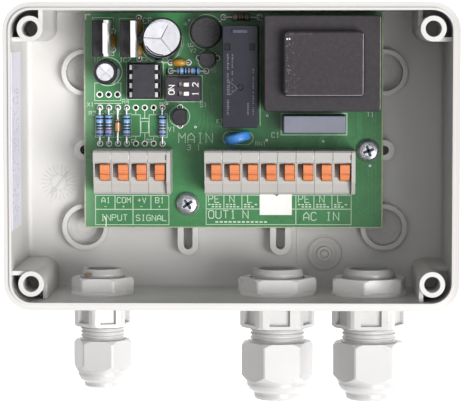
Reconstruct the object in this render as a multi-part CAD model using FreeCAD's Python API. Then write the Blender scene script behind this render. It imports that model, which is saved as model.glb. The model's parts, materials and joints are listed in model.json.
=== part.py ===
"""Control unit in a wall-mounted plastic enclosure, cover off.

The frame is the enclosure's own: the origin is the centre of its back face, +X runs along the long
side, +Y away from the wall that carries the cable glands, and +Z out of the open front.
All sizes are in millimetres.
"""

import FreeCAD, Part
import math
import os

OUT = "parts"

# ---- Enclosure ----
BOX_W, BOX_H, BOX_D = 122.0, 82.5, 45.0
BOX_R = 7.5                       # outer corner radius
WALL, FLOOR = 2.1, 2.5
TONGUE_W, TONGUE_H = 0.7, 0.4     # raised inner edge of the rim, which seats in the cover
BACK_EDGE = 1.6                   # rounding of the outer back edge
FLOOR_EDGE = 1.2                  # rounding between floor and walls
POST_X, POST_Y = 53.8, 34.2       # cover screw posts
POST_R, POST_HOLE_R = 3.45, 2.15
POST_TOP = BOX_D - 1.2
POST_HOLE_DEPTH = 14.0
POCKET_Z = 29.0                   # solid corner behind each post, up to this height
RIB_T = 1.2
# How far the ribs stop below each post's top: the rib to the end wall, then the one to the side wall.
RIB_DROP = {(-1, 1): (0.6, 3.5), (1, 1): (11.0, 3.0), (-1, -1): (9.0, 0.8), (1, -1): (2.0, 14.0)}
COLLAR_X, COLLAR_Y = 42.35, 21.9  # collars for the sealing caps of the wall screws
COLLAR_R, COLLAR_BORE_R = 6.6, 5.25
COLLAR_TOP = FLOOR + 3.0
KNOCKOUT_Z = 1.3                  # thin floor inside a collar
SLOT_R, SLOT_BOSS_R = 1.25, 2.95  # slotted bosses that take self-tapping screws
SLOT_BOTTOM = 1.2
SIDE_SLOT_X = (31.0, 42.4)        # ends of the slots on the X axis
END_SLOT_X = 13.1
END_SLOT_Y = (12.0, 26.9)
GATE_X, GATE_Y, GATE_R, GATE_NUB_R = 25.6, -29.7, 5.0, 2.1

# ---- Circuit board ----
BOARD_X0, BOARD_X1 = -42.3, 41.9
BOARD_Y0, BOARD_Y1 = -21.85, 38.8
BOARD_Z0, BOARD_T = 6.6, 1.6
TOP = BOARD_Z0 + BOARD_T          # component side of the board
SCREWS = [(-END_SLOT_X, -15.1), (37.8, 0.0)]
SCREW_TURNS = (35.0, 20.0)        # angle of each cross recess
SCREW_HOLE_R, SCREW_R, SCREW_HEAD_R, SCREW_HEAD_H = 1.75, 1.2, 3.3, 2.2
PITCH = 2.54
LEAD_R, HOLE_R = 0.3, 0.45
LEAD_END = BOARD_Z0 - 1.3         # how far the leads stand out under the board

# ---- Cable glands ----
GLAND_Z = 22.0
GLAND_X = {"signal": -36.2, "output": 12.3, "mains": 37.7}
OUTER_Y = -BOX_H / 2
INNER_Y = OUTER_Y + WALL
SMALL_GLAND = dict(
    hole_r=6.4, thread_r=6.15, thread_depth=0.42, pitch=1.05, bore_r=4.2, socket_r=5.0,
    hex_af=14.2, hex_len=5.9, stub=7.1, neck_end=-55.6,
    lock_af=15.4, lock_flange_r=8.8, nut_af=14.3, nut_top=-51.7, nut_hex_end=-59.1,
    nut_shape=((7.25, -60.3), (6.95, -60.6), (6.8, -61.6), (6.25, -62.7), (5.35, -63.4), (5.2, -63.6),
               (5.1, -64.5), (4.75, -64.9)),
    mouth_r=3.7, seal_r=3.0)
LARGE_GLAND = dict(
    hole_r=7.8, thread_r=7.55, thread_depth=0.46, pitch=1.15, bore_r=5.3, socket_r=6.3,
    hex_af=18.5, hex_len=6.1, stub=7.2, neck_end=-56.4,
    lock_af=19.0, lock_flange_r=10.4, nut_af=17.6, nut_top=-52.2, nut_hex_end=-61.9,
    nut_shape=((8.75, -63.1), (8.6, -63.4), (8.5, -64.3), (7.9, -65.3), (6.95, -66.0), (6.6, -66.3),
               (6.5, -67.4), (6.2, -68.05), (5.6, -68.35)),
    mouth_r=4.8, seal_r=4.0)
GLANDS = {"signal": SMALL_GLAND, "output": LARGE_GLAND, "mains": LARGE_GLAND}
HEX_TURN = {"signal": -13.6, "output": -25.6, "mains": -28.0}    # where each hexagon points
LOCK_TURN = {"signal": -36.0, "output": -30.0, "mains": -9.0}
NUT_TURN = {"signal": -37.0, "output": -21.0, "mains": -24.0}
FLAT_SEAL_T = 0.8
LOCK_HEX_H, LOCK_FLANGE_H = 3.7, 1.1
FIT = 0.15                        # radial running clearance on the gland threads

# ---- Terminal strips ----
POLE = 5.08
POLE_BODY = 5.02                  # width of one module, which leaves a fine joint line
END_PLATE_T = 1.1
STRIP_Y0, STRIP_Y1 = -11.7, 0.6
STRIP_TOP = TOP + 14.8
INPUT_X, INPUT_POLES = -38.75, 4
POWER_X, POWER_POLES = -7.95, 8
LEVER_X, LEVER_W = 1.95, 2.65     # lever position and width inside its module
LEVER_Y0, LEVER_Y1 = -7.7, -3.2
LEVER_GAP = 0.12


# ---- Small helpers ----
def vec(x, y, z):
    return FreeCAD.Vector(x, y, z)


def block(x0, x1, y0, y1, z0, z1):
    return Part.makeBox(x1 - x0, y1 - y0, z1 - z0, vec(x0, y0, z0))


def rod(radius, start, end):
    """A cylinder from one point to another."""
    a, b = vec(*start), vec(*end)
    return Part.makeCylinder(radius, (b - a).Length, a, b - a)


def ring(outer, inner, x, y, z0, z1):
    return rod(outer, (x, y, z0), (x, y, z1)).cut(rod(inner, (x, y, z0 - 1), (x, y, z1 + 1)))


def fuse(shapes):
    whole = shapes[0]
    if len(shapes) > 1:
        whole = whole.multiFuse(shapes[1:])
    return whole.removeSplitter()


def rounded_plate(x0, x1, y0, y1, z0, z1, radius):
    """A plate whose upright edges are rounded."""
    plate = block(x0, x1, y0, y1, z0, z1)
    upright = [e for e in plate.Edges if abs(e.tangentAt(e.FirstParameter).z) > 0.99]
    return plate.makeFillet(radius, upright)


def edges_at_z(shape, z):
    return [e for e in shape.Edges if all(abs(v.Z - z) < 1e-4 for v in e.Vertexes)
            and abs(e.CenterOfMass.z - z) < 1e-4]


def capsule(x0, y0, x1, y1, radius, z0, z1):
    """An upright solid with the outline of a slot between two centres."""
    along = vec(x1 - x0, y1 - y0, 0)
    side = vec(-along.y, along.x, 0).normalize() * radius
    a, b = vec(x0, y0, z0), vec(x1, y1, z0)
    flat = Part.Face(Part.makePolygon([a + side, b + side, b - side, a - side, a + side]))
    middle = flat.extrude(vec(0, 0, z1 - z0))
    ends = [rod(radius, (x, y, z0), (x, y, z1)) for x, y in ((x0, y0), (x1, y1))]
    return fuse([middle] + ends)


def extrude_x(profile, x0, x1):
    """A solid with a (y, z) outline, from x0 to x1."""
    points = [vec(x0, y, z) for y, z in profile]
    return Part.Face(Part.makePolygon(points + points[:1])).extrude(vec(x1 - x0, 0, 0))


def turned_y(profile, x, z):
    """A solid of revolution round a line along Y, from a closed (radius, y) outline."""
    points = [vec(x + r, y, z) for r, y in profile]
    face = Part.Face(Part.makePolygon(points + points[:1]))
    return face.revolve(vec(x, 0, z), vec(0, 1, 0), 360)


def turned_z(profile, x, y):
    """A solid of revolution round a vertical line, from a closed (radius, z) outline."""
    points = [vec(x + r, y, z) for r, z in profile]
    face = Part.Face(Part.makePolygon(points + points[:1]))
    return face.revolve(vec(x, y, 0), vec(0, 0, 1), 360)


def hexagon_y(flats, x, z, y0, y1, turn):
    """A hexagonal prism along Y. With turn 0 it has a corner towards +Z."""
    radius = flats / math.sqrt(3)
    points = [vec(x + radius * math.sin(math.radians(turn + 60 * k)), y0,
                  z + radius * math.cos(math.radians(turn + 60 * k))) for k in range(6)]
    return Part.Face(Part.makePolygon(points + points[:1])).extrude(vec(0, y1 - y0, 0))


def thread_outline(major, depth, pitch, y0, y1):
    """The (radius, y) points of a row of thread crests from y0 to y1."""
    step = math.copysign(pitch, y1 - y0)
    count = int(abs(y1 - y0) / pitch)
    points = [(major - depth, y0)]
    for k in range(count):
        base = y0 + k * step
        points += [(major - depth, base + 0.15 * step), (major, base + 0.45 * step),
                   (major, base + 0.6 * step), (major - depth, base + 0.9 * step)]
    points.append((major - depth, y1))
    return points


def save(name, shapes):
    """Writes one sub-part, which may be a group of separate solids."""
    solids = [s for shape in shapes for s in shape.Solids]
    for solid in solids:
        if not solid.isValid() or solid.Volume <= 0:
            raise ValueError(f"{name} has a bad solid")
    shape = solids[0] if len(solids) == 1 else Part.makeCompound(solids)
    shape.exportStep(os.path.join(OUT, name + ".step"))
    print(f"{name}: {len(solids)} solid(s), {sum(s.Volume for s in solids):.1f} mm3")


# ---- Enclosure ----
def corner_post(sx, sy):
    """A cover screw post with the two ribs that tie it to the walls and the solid corner behind."""
    x, y = sx * POST_X, sy * POST_Y
    wall_x, wall_y = sx * (BOX_W / 2 - WALL / 2), sy * (BOX_H / 2 - WALL / 2)
    inner_x, inner_y = x - sx * POST_R, y - sy * POST_R
    z0, (drop_up, drop_side) = FLOOR - 0.5, RIB_DROP[sx, sy]
    rib_up = block(*sorted((inner_x, inner_x + sx * RIB_T)), *sorted((y, wall_y)), z0, POST_TOP - drop_up)
    rib_side = block(*sorted((x, wall_x)), *sorted((inner_y, inner_y + sy * RIB_T)), z0, POST_TOP - drop_side)
    corner = block(*sorted((inner_x, wall_x)), *sorted((y, wall_y)), z0, POCKET_Z)
    corner = corner.fuse(block(*sorted((x, wall_x)), *sorted((inner_y, wall_y)), z0, POCKET_Z))
    half_w, half_h = (BOX_W - WALL) / 2, (BOX_H - WALL) / 2
    corner = corner.common(rounded_plate(-half_w, half_w, -half_h, half_h, z0, POCKET_Z, BOX_R - WALL / 2))
    return [rod(POST_R, (x, y, z0), (x, y, POST_TOP)), rib_up, rib_side, corner]


def slot_ends():
    """The two centres of each slotted boss."""
    found = []
    for s in (-1, 1):
        found.append((s * SIDE_SLOT_X[0], 0, s * SIDE_SLOT_X[1], 0))
        for x in (-END_SLOT_X, END_SLOT_X):
            found.append((x, s * END_SLOT_Y[0], x, s * END_SLOT_Y[1]))
    return found


def enclosure_base():
    half_w, half_h = BOX_W / 2, BOX_H / 2
    outer = rounded_plate(-half_w, half_w, -half_h, half_h, 0, BOX_D, BOX_R)
    outer = outer.makeFillet(BACK_EDGE, edges_at_z(outer, 0))
    cavity = rounded_plate(-half_w + WALL, half_w - WALL, -half_h + WALL, half_h - WALL,
                           FLOOR, BOX_D + 1, BOX_R - WALL)
    cavity = cavity.makeFillet(FLOOR_EDGE, edges_at_z(cavity, FLOOR))
    edge = WALL - TONGUE_W
    band = rounded_plate(-half_w - 1, half_w + 1, -half_h - 1, half_h + 1,
                         BOX_D - TONGUE_H, BOX_D + 1, BOX_R + 1)
    band = band.cut(rounded_plate(-half_w + edge, half_w - edge, -half_h + edge, half_h - edge,
                                  BOX_D - TONGUE_H - 1, BOX_D + 2, BOX_R - edge))
    shell = outer.cut(cavity).cut(band)

    added = []
    for sx in (-1, 1):
        for sy in (-1, 1):
            added += corner_post(sx, sy)
            added.append(rod(COLLAR_R, (sx * COLLAR_X, sy * COLLAR_Y, FLOOR - 0.5),
                             (sx * COLLAR_X, sy * COLLAR_Y, COLLAR_TOP)))
    for ends in slot_ends():
        added.append(capsule(*ends, SLOT_BOSS_R, FLOOR - 0.5, BOARD_Z0))
    added.append(rod(GATE_NUB_R, (GATE_X, GATE_Y, FLOOR - 0.5), (GATE_X, GATE_Y, FLOOR + 1.0)))
    shell = shell.multiFuse(added)

    removed = [ring(GATE_R, GATE_R - 0.35, GATE_X, GATE_Y, FLOOR - 0.25, FLOOR + 0.2)]
    for sx in (-1, 1):
        for sy in (-1, 1):
            x, y = sx * POST_X, sy * POST_Y
            removed.append(rod(POST_HOLE_R, (x, y, POST_TOP - POST_HOLE_DEPTH), (x, y, BOX_D)))
            x, y = sx * COLLAR_X, sy * COLLAR_Y
            removed.append(rod(COLLAR_BORE_R, (x, y, KNOCKOUT_Z), (x, y, BOX_D)))
    for ends in slot_ends():
        removed.append(capsule(*ends, SLOT_R, SLOT_BOTTOM, BOARD_Z0 + 1))
    for name, size in GLANDS.items():
        x = GLAND_X[name]
        removed.append(rod(size["hole_r"], (x, OUTER_Y - 1, GLAND_Z), (x, INNER_Y + 1, GLAND_Z)))
    shell = shell.cut(Part.makeCompound(removed))
    save("enclosure_base", [shell.removeSplitter()])


def inner_label():
    x = -BOX_W / 2 + WALL
    save("inner_label", [block(x, x + 0.15, -20.0, 27.9, 21.5, 43.5)])


# ---- Cable glands ----
def gland_body(name):
    """The threaded tube with its hexagon, which clamps on the wall."""
    size, x = GLANDS[name], GLAND_X[name]
    r, depth, pitch = size["thread_r"], size["thread_depth"], size["pitch"]
    stub_end = INNER_Y + size["stub"]
    hex_y = OUTER_Y - FLAT_SEAL_T
    hex_end = hex_y - size["hex_len"]
    wall_thread = thread_outline(r, depth, pitch, INNER_Y + 0.2, stub_end - 1.3)
    neck_thread = thread_outline(r, depth, pitch, hex_end, size["neck_end"] + 0.7)
    profile = [(size["bore_r"], stub_end), (r - 0.9, stub_end)]
    profile += list(reversed(wall_thread))
    profile += [(r, INNER_Y + 0.1), (r, hex_end + 0.3)]
    profile += neck_thread + [(r - 1.0, size["neck_end"])]
    socket_y = size["neck_end"] + 7.6
    profile += [(size["socket_r"], size["neck_end"]), (size["socket_r"], socket_y),
                (size["bore_r"], socket_y)]
    tube = turned_y(profile, x, GLAND_Z)
    hexagon = hexagon_y(size["hex_af"], x, GLAND_Z, hex_y, hex_end, HEX_TURN[name])
    corner_trim = turned_y([(0, hex_y + 1), (size["hex_af"] * 0.56, hex_y + 1),
                            (size["hex_af"] * 0.56, hex_end + 0.5),
                            (size["hex_af"] * 0.53, hex_end - 0.01), (0, hex_end - 0.01)], x, GLAND_Z)
    hexagon = hexagon.common(corner_trim)
    bore = rod(r - 1, (x, hex_y + 1, GLAND_Z), (x, hex_end - 1, GLAND_Z))
    body = fuse([tube, hexagon.cut(bore)])
    side = size["hex_af"] / math.sqrt(3)
    pocket_w, pocket_d = side * 0.52, 1.2
    for k in range(6):
        pocket = block(x - pocket_w / 2, x + pocket_w / 2, hex_end + 1.0, hex_y - 0.6,
                       GLAND_Z + size["hex_af"] / 2 - pocket_d, GLAND_Z + size["hex_af"] / 2 + 2)
        pocket.rotate(vec(x, 0, GLAND_Z), vec(0, 1, 0), HEX_TURN[name] + 30 + 60 * k)
        body = body.cut(pocket)
    return body


def flat_seal(name):
    size, x = GLANDS[name], GLAND_X[name]
    y0, y1 = OUTER_Y - FLAT_SEAL_T, OUTER_Y
    r0, r1 = size["thread_r"] + 0.02, size["hex_af"] / 2 - 0.1
    return turned_y([(r0, y0), (r1, y0), (r1, y1), (r0, y1)], x, GLAND_Z)


def lock_nut(name):
    size, x = GLANDS[name], GLAND_X[name]
    flange_y, top_y = INNER_Y + LOCK_FLANGE_H, INNER_Y + LOCK_FLANGE_H + LOCK_HEX_H
    bore_r, flange_r = size["thread_r"] + FIT, size["lock_flange_r"]
    flange = turned_y([(bore_r, INNER_Y), (flange_r, INNER_Y), (flange_r, flange_y - 0.25),
                       (flange_r - 0.3, flange_y), (bore_r, flange_y)], x, GLAND_Z)
    hexagon = hexagon_y(size["lock_af"], x, GLAND_Z, flange_y - 0.3, top_y, LOCK_TURN[name])
    corner_r = size["lock_af"] / math.sqrt(3)
    trim = turned_y([(0, INNER_Y), (corner_r - 0.15, INNER_Y), (corner_r - 0.15, top_y - 0.7),
                     (corner_r - 0.8, top_y), (0, top_y)], x, GLAND_Z)
    bore = rod(bore_r, (x, INNER_Y - 1, GLAND_Z), (x, top_y + 1, GLAND_Z))
    return fuse([flange, hexagon.common(trim).cut(bore)])


def clamp_cage(name):
    """The slotted ring that the dome nut squeezes round the seal."""
    size, x = GLANDS[name], GLAND_X[name]
    outer, inner = size["socket_r"] - FIT, size["seal_r"] + 1.1
    y_in, y_out = size["neck_end"] + 3.4, size["nut_hex_end"] - 1.6
    cage = turned_y([(inner, y_in), (outer, y_in), (outer, y_out + 1.1), (outer - 0.6, y_out),
                     (inner, y_out)], x, GLAND_Z)
    slots = []
    for k in range(8):
        slot = block(x - 0.3, x + 0.3, y_out - 1, size["neck_end"] + 1, GLAND_Z, GLAND_Z + 12)
        slot.rotate(vec(x, 0, GLAND_Z), vec(0, 1, 0), 45 * k)
        slots.append(slot)
    return cage.cut(Part.makeCompound(slots))


def seal_insert(name):
    size, x = GLANDS[name], GLAND_X[name]
    outer, inner = size["seal_r"] + 1.08, size["seal_r"]
    y_in, y_out = size["neck_end"] + 3.8, size["nut_hex_end"] - 1.9
    return turned_y([(inner, y_in), (outer, y_in), (outer, y_out), (inner, y_out)], x, GLAND_Z)


def dome_nut(name):
    """The outer nut: a hexagon that runs out into a dome with a lip round the mouth."""
    size, x = GLANDS[name], GLAND_X[name]
    flats, top, hex_end = size["nut_af"], size["nut_top"], size["nut_hex_end"]
    shape = size["nut_shape"]
    end, step_y = shape[-1][1], shape[4][1]
    corner_r = flats / math.sqrt(3)
    hexagon = hexagon_y(flats, x, GLAND_Z, shape[0][1], top, NUT_TURN[name])
    trim = turned_y([(0, top), (corner_r - 0.9, top), (corner_r - 0.15, top - 0.9),
                     (corner_r - 0.15, hex_end + 0.4), (shape[0][0] - 0.1, shape[0][1]),
                     (0, shape[0][1])], x, GLAND_Z)
    dome = turned_y([(0, hex_end + 0.3), (flats / 2 - 0.05, hex_end + 0.3)] + list(shape) + [(0, end)],
                    x, GLAND_Z)
    bore_r, cone_y, mouth_r = size["thread_r"] + FIT, hex_end + 0.6, size["mouth_r"]
    inside = turned_y([(0, top + 1), (bore_r, top + 1), (bore_r, cone_y),
                       (size["socket_r"] + 0.5, cone_y - 0.2), (mouth_r + 0.4, step_y + 0.6),
                       (mouth_r, step_y + 0.1), (mouth_r, end + 0.5), (mouth_r + 0.4, end - 0.01),
                       (0, end - 0.01)], x, GLAND_Z)
    return fuse([hexagon.common(trim), dome]).cut(inside)


def cable_glands():
    save("gland_body_signal", [gland_body("signal")])
    save("gland_bodies_power", [gland_body("output"), gland_body("mains")])
    save("gland_flat_seals", [flat_seal(name) for name in GLANDS])
    save("gland_lock_nuts", [lock_nut(name) for name in GLANDS])
    for name in GLANDS:
        save(f"clamp_cage_{name}", [clamp_cage(name)])
        save(f"seal_insert_{name}", [seal_insert(name)])
        save(f"dome_nut_{name}", [dome_nut(name)])


# ---- Axial and radial components ----
ROW_X = [-37.8 + 2.52 * k for k in range(8)]     # the row of upright axial parts
ROW_Y = (1.9, 12.06)
AXIAL_Z = TOP + 1.35                             # height of an axial part's centre line

AXIAL = {                                        # name: ((x0, y0), (x1, y1)), its two holes
    "r1": ((ROW_X[0], ROW_Y[0]), (ROW_X[0], ROW_Y[1])),
    "r2": ((ROW_X[1], ROW_Y[0]), (ROW_X[1], ROW_Y[1])),
    "d1": ((ROW_X[2], ROW_Y[0]), (ROW_X[2], ROW_Y[1])),
    "r3": ((ROW_X[3], ROW_Y[0]), (ROW_X[3], ROW_Y[1])),
    "r4": ((ROW_X[7], ROW_Y[0]), (ROW_X[7], ROW_Y[1])),
    "r5": ((-17.8, 22.4), (-7.8, 22.4)),
    "f1": ((-3.0, 37.45), (7.1, 37.45)),
    "c1": ((-34.1, 28.35), (-34.1, 33.45)),
    "c2": ((-26.8, 32.3), (-26.8, 37.3)),
    "c3": ((-26.7, 25.8), (-26.7, 30.8)),
    "c4": ((-17.9, 24.75), (-12.8, 24.75)),
}
SPARE_HOLES = [(ROW_X[k], y) for k in (4, 5, 6) for y in ROW_Y]
HEADER_HOLES = [(-37.9 + 2.52 * k, 15.75) for k in range(3)]

CAN_BIG = dict(x=-20.45, y=30.5, r=5.2, h=15.6, lean_x=4.0, lean_y=5.5, fold=0.35)
CAN_SMALL = dict(x=-35.5, y=22.2, r=3.25, h=10.6, lean_x=0.0, lean_y=0.0, fold=0.8)
REGULATORS = [dict(x=-35.5, y=31.6, shoulder=0.85), dict(x=-27.9, y=31.4, shoulder=0.0)]
REGULATOR_T = 3.4                 # thickness of the moulded part
BRIDGE = dict(x=-7.75, y=33.3, r=4.35, z0=TOP + 0.5, z1=TOP + 6.0)
TRANSISTORS = [dict(x=-15.2, y=9.6, turn=0.0, flat=2.0), dict(x=-7.3, y=26.0, turn=90.0, flat=1.5)]
RELAY = dict(x0=-3.0, x1=6.9, y0=6.9, y1=35.1, z0=TOP + 0.3, z1=TOP + 12.6)
TRANSFORMER = dict(x0=8.6, x1=40.6, y0=11.6, y1=37.9, z0=TOP + 0.2, z1=TOP + 18.0)
TRANSFORMER_PAD = dict(x0=13.8, x1=36.1, y0=15.6, y1=33.6, z1=TOP + 21.6)
FILM_CAP = dict(x0=13.95, x1=31.15, y0=5.4, y1=10.15, z0=TOP + 0.2, z1=TOP + 11.2)
VARISTOR = dict(x=1.15, y=3.6, r=3.7, t=3.0, turn=16.0, lean=-2.0)
SOCKET = dict(x=-25.1, y=19.65, w=9.6, h=10.0, z1=TOP + 4.2)
SWITCH = dict(x=-14.05, y=17.4, w=9.6, h=6.7, z0=TOP + 0.3, z1=TOP + 5.6)
SWITCH_ROWS = (16.13, 18.67)
SLIDER_LEN, SLIDER_W, WINDOW_LEN = 1.5, 1.15, 3.3


def axial_span(ends, length):
    """The two ends of an axial part's body, centred between its holes."""
    (x0, y0), (x1, y1) = ends
    middle = vec((x0 + x1) / 2, (y0 + y1) / 2, AXIAL_Z)
    along = vec(x1 - x0, y1 - y0, 0).normalize()
    return middle - along * (length / 2), middle + along * (length / 2)


def axial_body(ends, length, profile):
    """A turned body between two holes. The profile is (share of length, radius) points."""
    start, end = axial_span(ends, length)
    points = [vec(r, 0, share * length) for share, r in profile]
    points = [vec(0, 0, 0)] + points + [vec(0, 0, length)]
    face = Part.Face(Part.makePolygon(points + points[:1]))
    body = face.revolve(vec(0, 0, 0), vec(0, 0, 1), 360)
    turn = FreeCAD.Rotation(vec(0, 0, 1), end - start)
    body.Placement = FreeCAD.Placement(start, turn)
    return body


RESISTOR_PROFILE = [(0.0, 0.55), (0.03, 0.95), (0.09, 1.12), (0.2, 1.12), (0.27, 0.93),
                    (0.73, 0.93), (0.8, 1.12), (0.91, 1.12), (0.97, 0.95), (1.0, 0.55)]
DIODE_PROFILE = [(0.0, 0.45), (0.06, 0.74), (0.94, 0.74), (1.0, 0.45)]
BEAD_PROFILE = [(0.5 - 0.5 * math.cos(math.pi * k / 10), 0.12 + 1.0 * math.sin(math.pi * k / 10) ** 0.8)
                for k in range(11)]


def lead_end(x, y):
    """How far down a lead goes: flush with the board where a boss or collar is under it."""
    for x0, y0, x1, y1 in slot_ends():
        near_x = min(max(x, min(x0, x1)), max(x0, x1))
        near_y = min(max(y, min(y0, y1)), max(y0, y1))
        if math.hypot(x - near_x, y - near_y) < SLOT_BOSS_R + 0.8:
            return BOARD_Z0
    if abs(math.hypot(abs(x) - COLLAR_X, abs(y) - COLLAR_Y) - COLLAR_R + 0.6) < 1.5:
        return BOARD_Z0 - 0.8
    return LEAD_END


def axial_leads(ends, length):
    """The two bent leads of an axial part."""
    start, end = axial_span(ends, length)
    leads = []
    for (hx, hy), inner in zip(ends, (start, end)):
        bend = (hx, hy, AXIAL_Z)
        leads.append(fuse([rod(LEAD_R, (hx, hy, lead_end(hx, hy)), bend), rod(LEAD_R, bend, tuple(inner)),
                           Part.makeSphere(LEAD_R, vec(*bend))]))
    return leads


def straight_lead(x, y, top, radius=LEAD_R):
    return rod(radius, (x, y, lead_end(x, y)), (x, y, top))


def can_lean(shape, can):
    """Leans a capacitor about its foot, towards +Y and +X."""
    foot = vec(can["x"], can["y"], TOP + 0.6)
    shape.rotate(foot, vec(1, 0, 0), -can["lean_y"])
    shape.rotate(foot, vec(0, 1, 0), can["lean_x"])
    return shape


def capacitor_can(can, vent_angles):
    r, z0 = can["r"], TOP + 0.6
    z1 = z0 + can["h"]
    body = turned_z([(0, z0), (r - 0.25, z0), (r, z0 + 0.4), (r, z0 + 1.2), (r - 0.3, z0 + 1.6),
                     (r, z0 + 2.0), (r, z1 - 0.35), (r - 0.35, z1), (0, z1)], can["x"], can["y"])
    for angle in vent_angles:
        groove = block(can["x"], can["x"] + r * 0.86, can["y"] - 0.09, can["y"] + 0.09, z1 - 0.14, z1 + 1)
        groove.rotate(vec(can["x"], can["y"], 0), vec(0, 0, 1), angle)
        body = body.cut(groove)
    return can_lean(body, can)


def capacitor_sleeve(can):
    """The shrink sleeve, which folds over the rim of the can."""
    r, z0, fold = can["r"] + 0.02, TOP + 0.85, can["fold"]
    z1 = TOP + 0.6 + can["h"]
    sleeve = turned_z([(r, z0), (r + 0.15, z0), (r + 0.15, z1 - 0.35), (r - 0.1, z1 + 0.16),
                       (r - fold, z1 + 0.16), (r - fold, z1 + 0.02), (r - 0.3, z1 + 0.02),
                       (r, z1 - 0.3)], can["x"], can["y"])
    return can_lean(sleeve, can)


def can_leads(can):
    gap = PITCH * (1.0 if can["r"] > 4 else 0.5)
    return [straight_lead(can["x"] + s * gap, can["y"], TOP + 0.3) for s in (-1, 1)]


def regulator_package(part):
    x, y, z0 = part["x"], part["y"], TOP + 4.4
    body = block(x - REGULATOR_T, x, y - 5.0, y + 5.0, z0, z0 + 9.2)
    top = [e for e in body.Edges if abs(e.CenterOfMass.z - z0 - 9.2) < 1e-4
           and abs(e.CenterOfMass.x - x) > 0.1]
    return body.makeChamfer(0.3, top)


def regulator_tab(part):
    x, y, z0 = part["x"], part["y"], TOP + 4.4
    top, t, shoulder = z0 + 15.4, 1.3, part["shoulder"]
    tab = block(x, x + t, y - 5.0, y + 5.0, z0, top)
    tab = tab.cut(rod(1.85, (x - 1, y, top - 2.9), (x + t + 1, y, top - 2.9)))
    if shoulder:
        for s in (-1, 1):
            edge = sorted((y + s * 5.1, y + s * (5.0 - shoulder)))
            tab = tab.cut(block(x - 1, x + t + 1, *edge, top - 3.2, top + 1))
    return tab


def regulator_legs(part):
    x, y = part["x"] - 1.6, part["y"]
    legs = []
    for k in (-1, 0, 1):
        leg_y = y + k * PITCH
        wide = block(x - 0.25, x + 0.25, leg_y - 0.55, leg_y + 0.55, TOP + 2.6, TOP + 4.4)
        narrow = block(x - 0.25, x + 0.25, leg_y - 0.3, leg_y + 0.3, lead_end(x, leg_y), TOP + 2.6)
        legs.append(fuse([wide, narrow]))
    return legs


def transistor_body(part):
    """A half-round package. With turn 0 its flat faces +X."""
    x, y, z0, z1 = part["x"], part["y"], TOP + 2.6, TOP + 7.2
    flat = x + part["flat"]
    body = rod(2.35, (flat - 1.65, y, z0), (flat - 1.65, y, z1))
    body = body.cut(block(flat, flat + 5, y - 5, y + 5, z0 - 1, z1 + 1))
    body = body.makeChamfer(0.2, edges_at_z(body, z1))
    body.rotate(vec(x, y, 0), vec(0, 0, 1), part["turn"])
    return body


def transistor_holes(part):
    angle = math.radians(part["turn"] + 90)
    return [(part["x"] + k * 2.6 * math.cos(angle), part["y"] + k * 2.6 * math.sin(angle))
            for k in (-1, 0, 1)]


def transistor_legs(part):
    """Three legs, the outer two spread from the package to the holes."""
    legs = []
    for k, (hx, hy) in zip((-1, 0, 1), transistor_holes(part)):
        inner_x = part["x"] + (hx - part["x"]) * 0.5
        inner_y = part["y"] + (hy - part["y"]) * 0.5
        pieces = [rod(0.25, (hx, hy, lead_end(hx, hy)), (hx, hy, TOP + 0.6))]
        if k:
            pieces += [rod(0.25, (hx, hy, TOP + 0.6), (inner_x, inner_y, TOP + 2.2)),
                       Part.makeSphere(0.25, vec(hx, hy, TOP + 0.6)),
                       Part.makeSphere(0.25, vec(inner_x, inner_y, TOP + 2.2)),
                       rod(0.25, (inner_x, inner_y, TOP + 2.2), (inner_x, inner_y, TOP + 2.6))]
        else:
            pieces.append(rod(0.25, (hx, hy, TOP + 0.5), (hx, hy, TOP + 2.6)))
        legs.append(fuse(pieces))
    return legs


# ---- Larger components ----
def shelled(part, wall, radius):
    """A box-shaped case, open underneath, with rounded upright and top edges."""
    outer = rounded_plate(part["x0"], part["x1"], part["y0"], part["y1"], part["z0"], part["z1"], radius)
    outer = outer.makeFillet(radius * 0.5, edges_at_z(outer, part["z1"]))
    inner = block(part["x0"] + wall, part["x1"] - wall, part["y0"] + wall, part["y1"] - wall,
                  part["z0"] - 1, part["z1"] - wall)
    return outer, inner


def transformer():
    case, inside = shelled(TRANSFORMER, 1.4, 0.7)
    pad = TRANSFORMER_PAD
    raised = rounded_plate(pad["x0"], pad["x1"], pad["y0"], pad["y1"], TRANSFORMER["z1"] - 1, pad["z1"], 1.6)
    raised = raised.makeFillet(0.7, edges_at_z(raised, pad["z1"]))
    case = case.fuse(raised).removeSplitter().cut(inside)
    hollow = block(pad["x0"] + 1.4, pad["x1"] - 1.4, pad["y0"] + 1.4, pad["y1"] - 1.4,
                   TRANSFORMER["z0"] + 2, pad["z1"] - 1.4)
    save("transformer_case", [case.cut(hollow)])

    cx, cy = (TRANSFORMER["x0"] + TRANSFORMER["x1"]) / 2, (TRANSFORMER["y0"] + TRANSFORMER["y1"]) / 2
    z0, z1 = TOP + 3.2, TOP + 16.0
    core = block(cx - 14.0, cx + 14.0, cy - 11.4, cy + 11.4, z0, z1)
    for s in (-1, 1):
        window = sorted((cx + s * 5.0, cx + s * 9.6))
        core = core.cut(block(*window, cy - 7.5, cy + 7.5, z0 - 1, z1 + 1))
    save("transformer_core", [core])
    coil = block(cx - 9.2, cx + 9.2, cy - 7.4, cy + 7.4, z0 - 1.8, z1 + 1.8)
    coil = coil.cut(block(cx - 5.1, cx + 5.1, cy - 20, cy + 20, z0 - 0.1, z1 + 0.1))
    save("transformer_coil", [coil])


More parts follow.
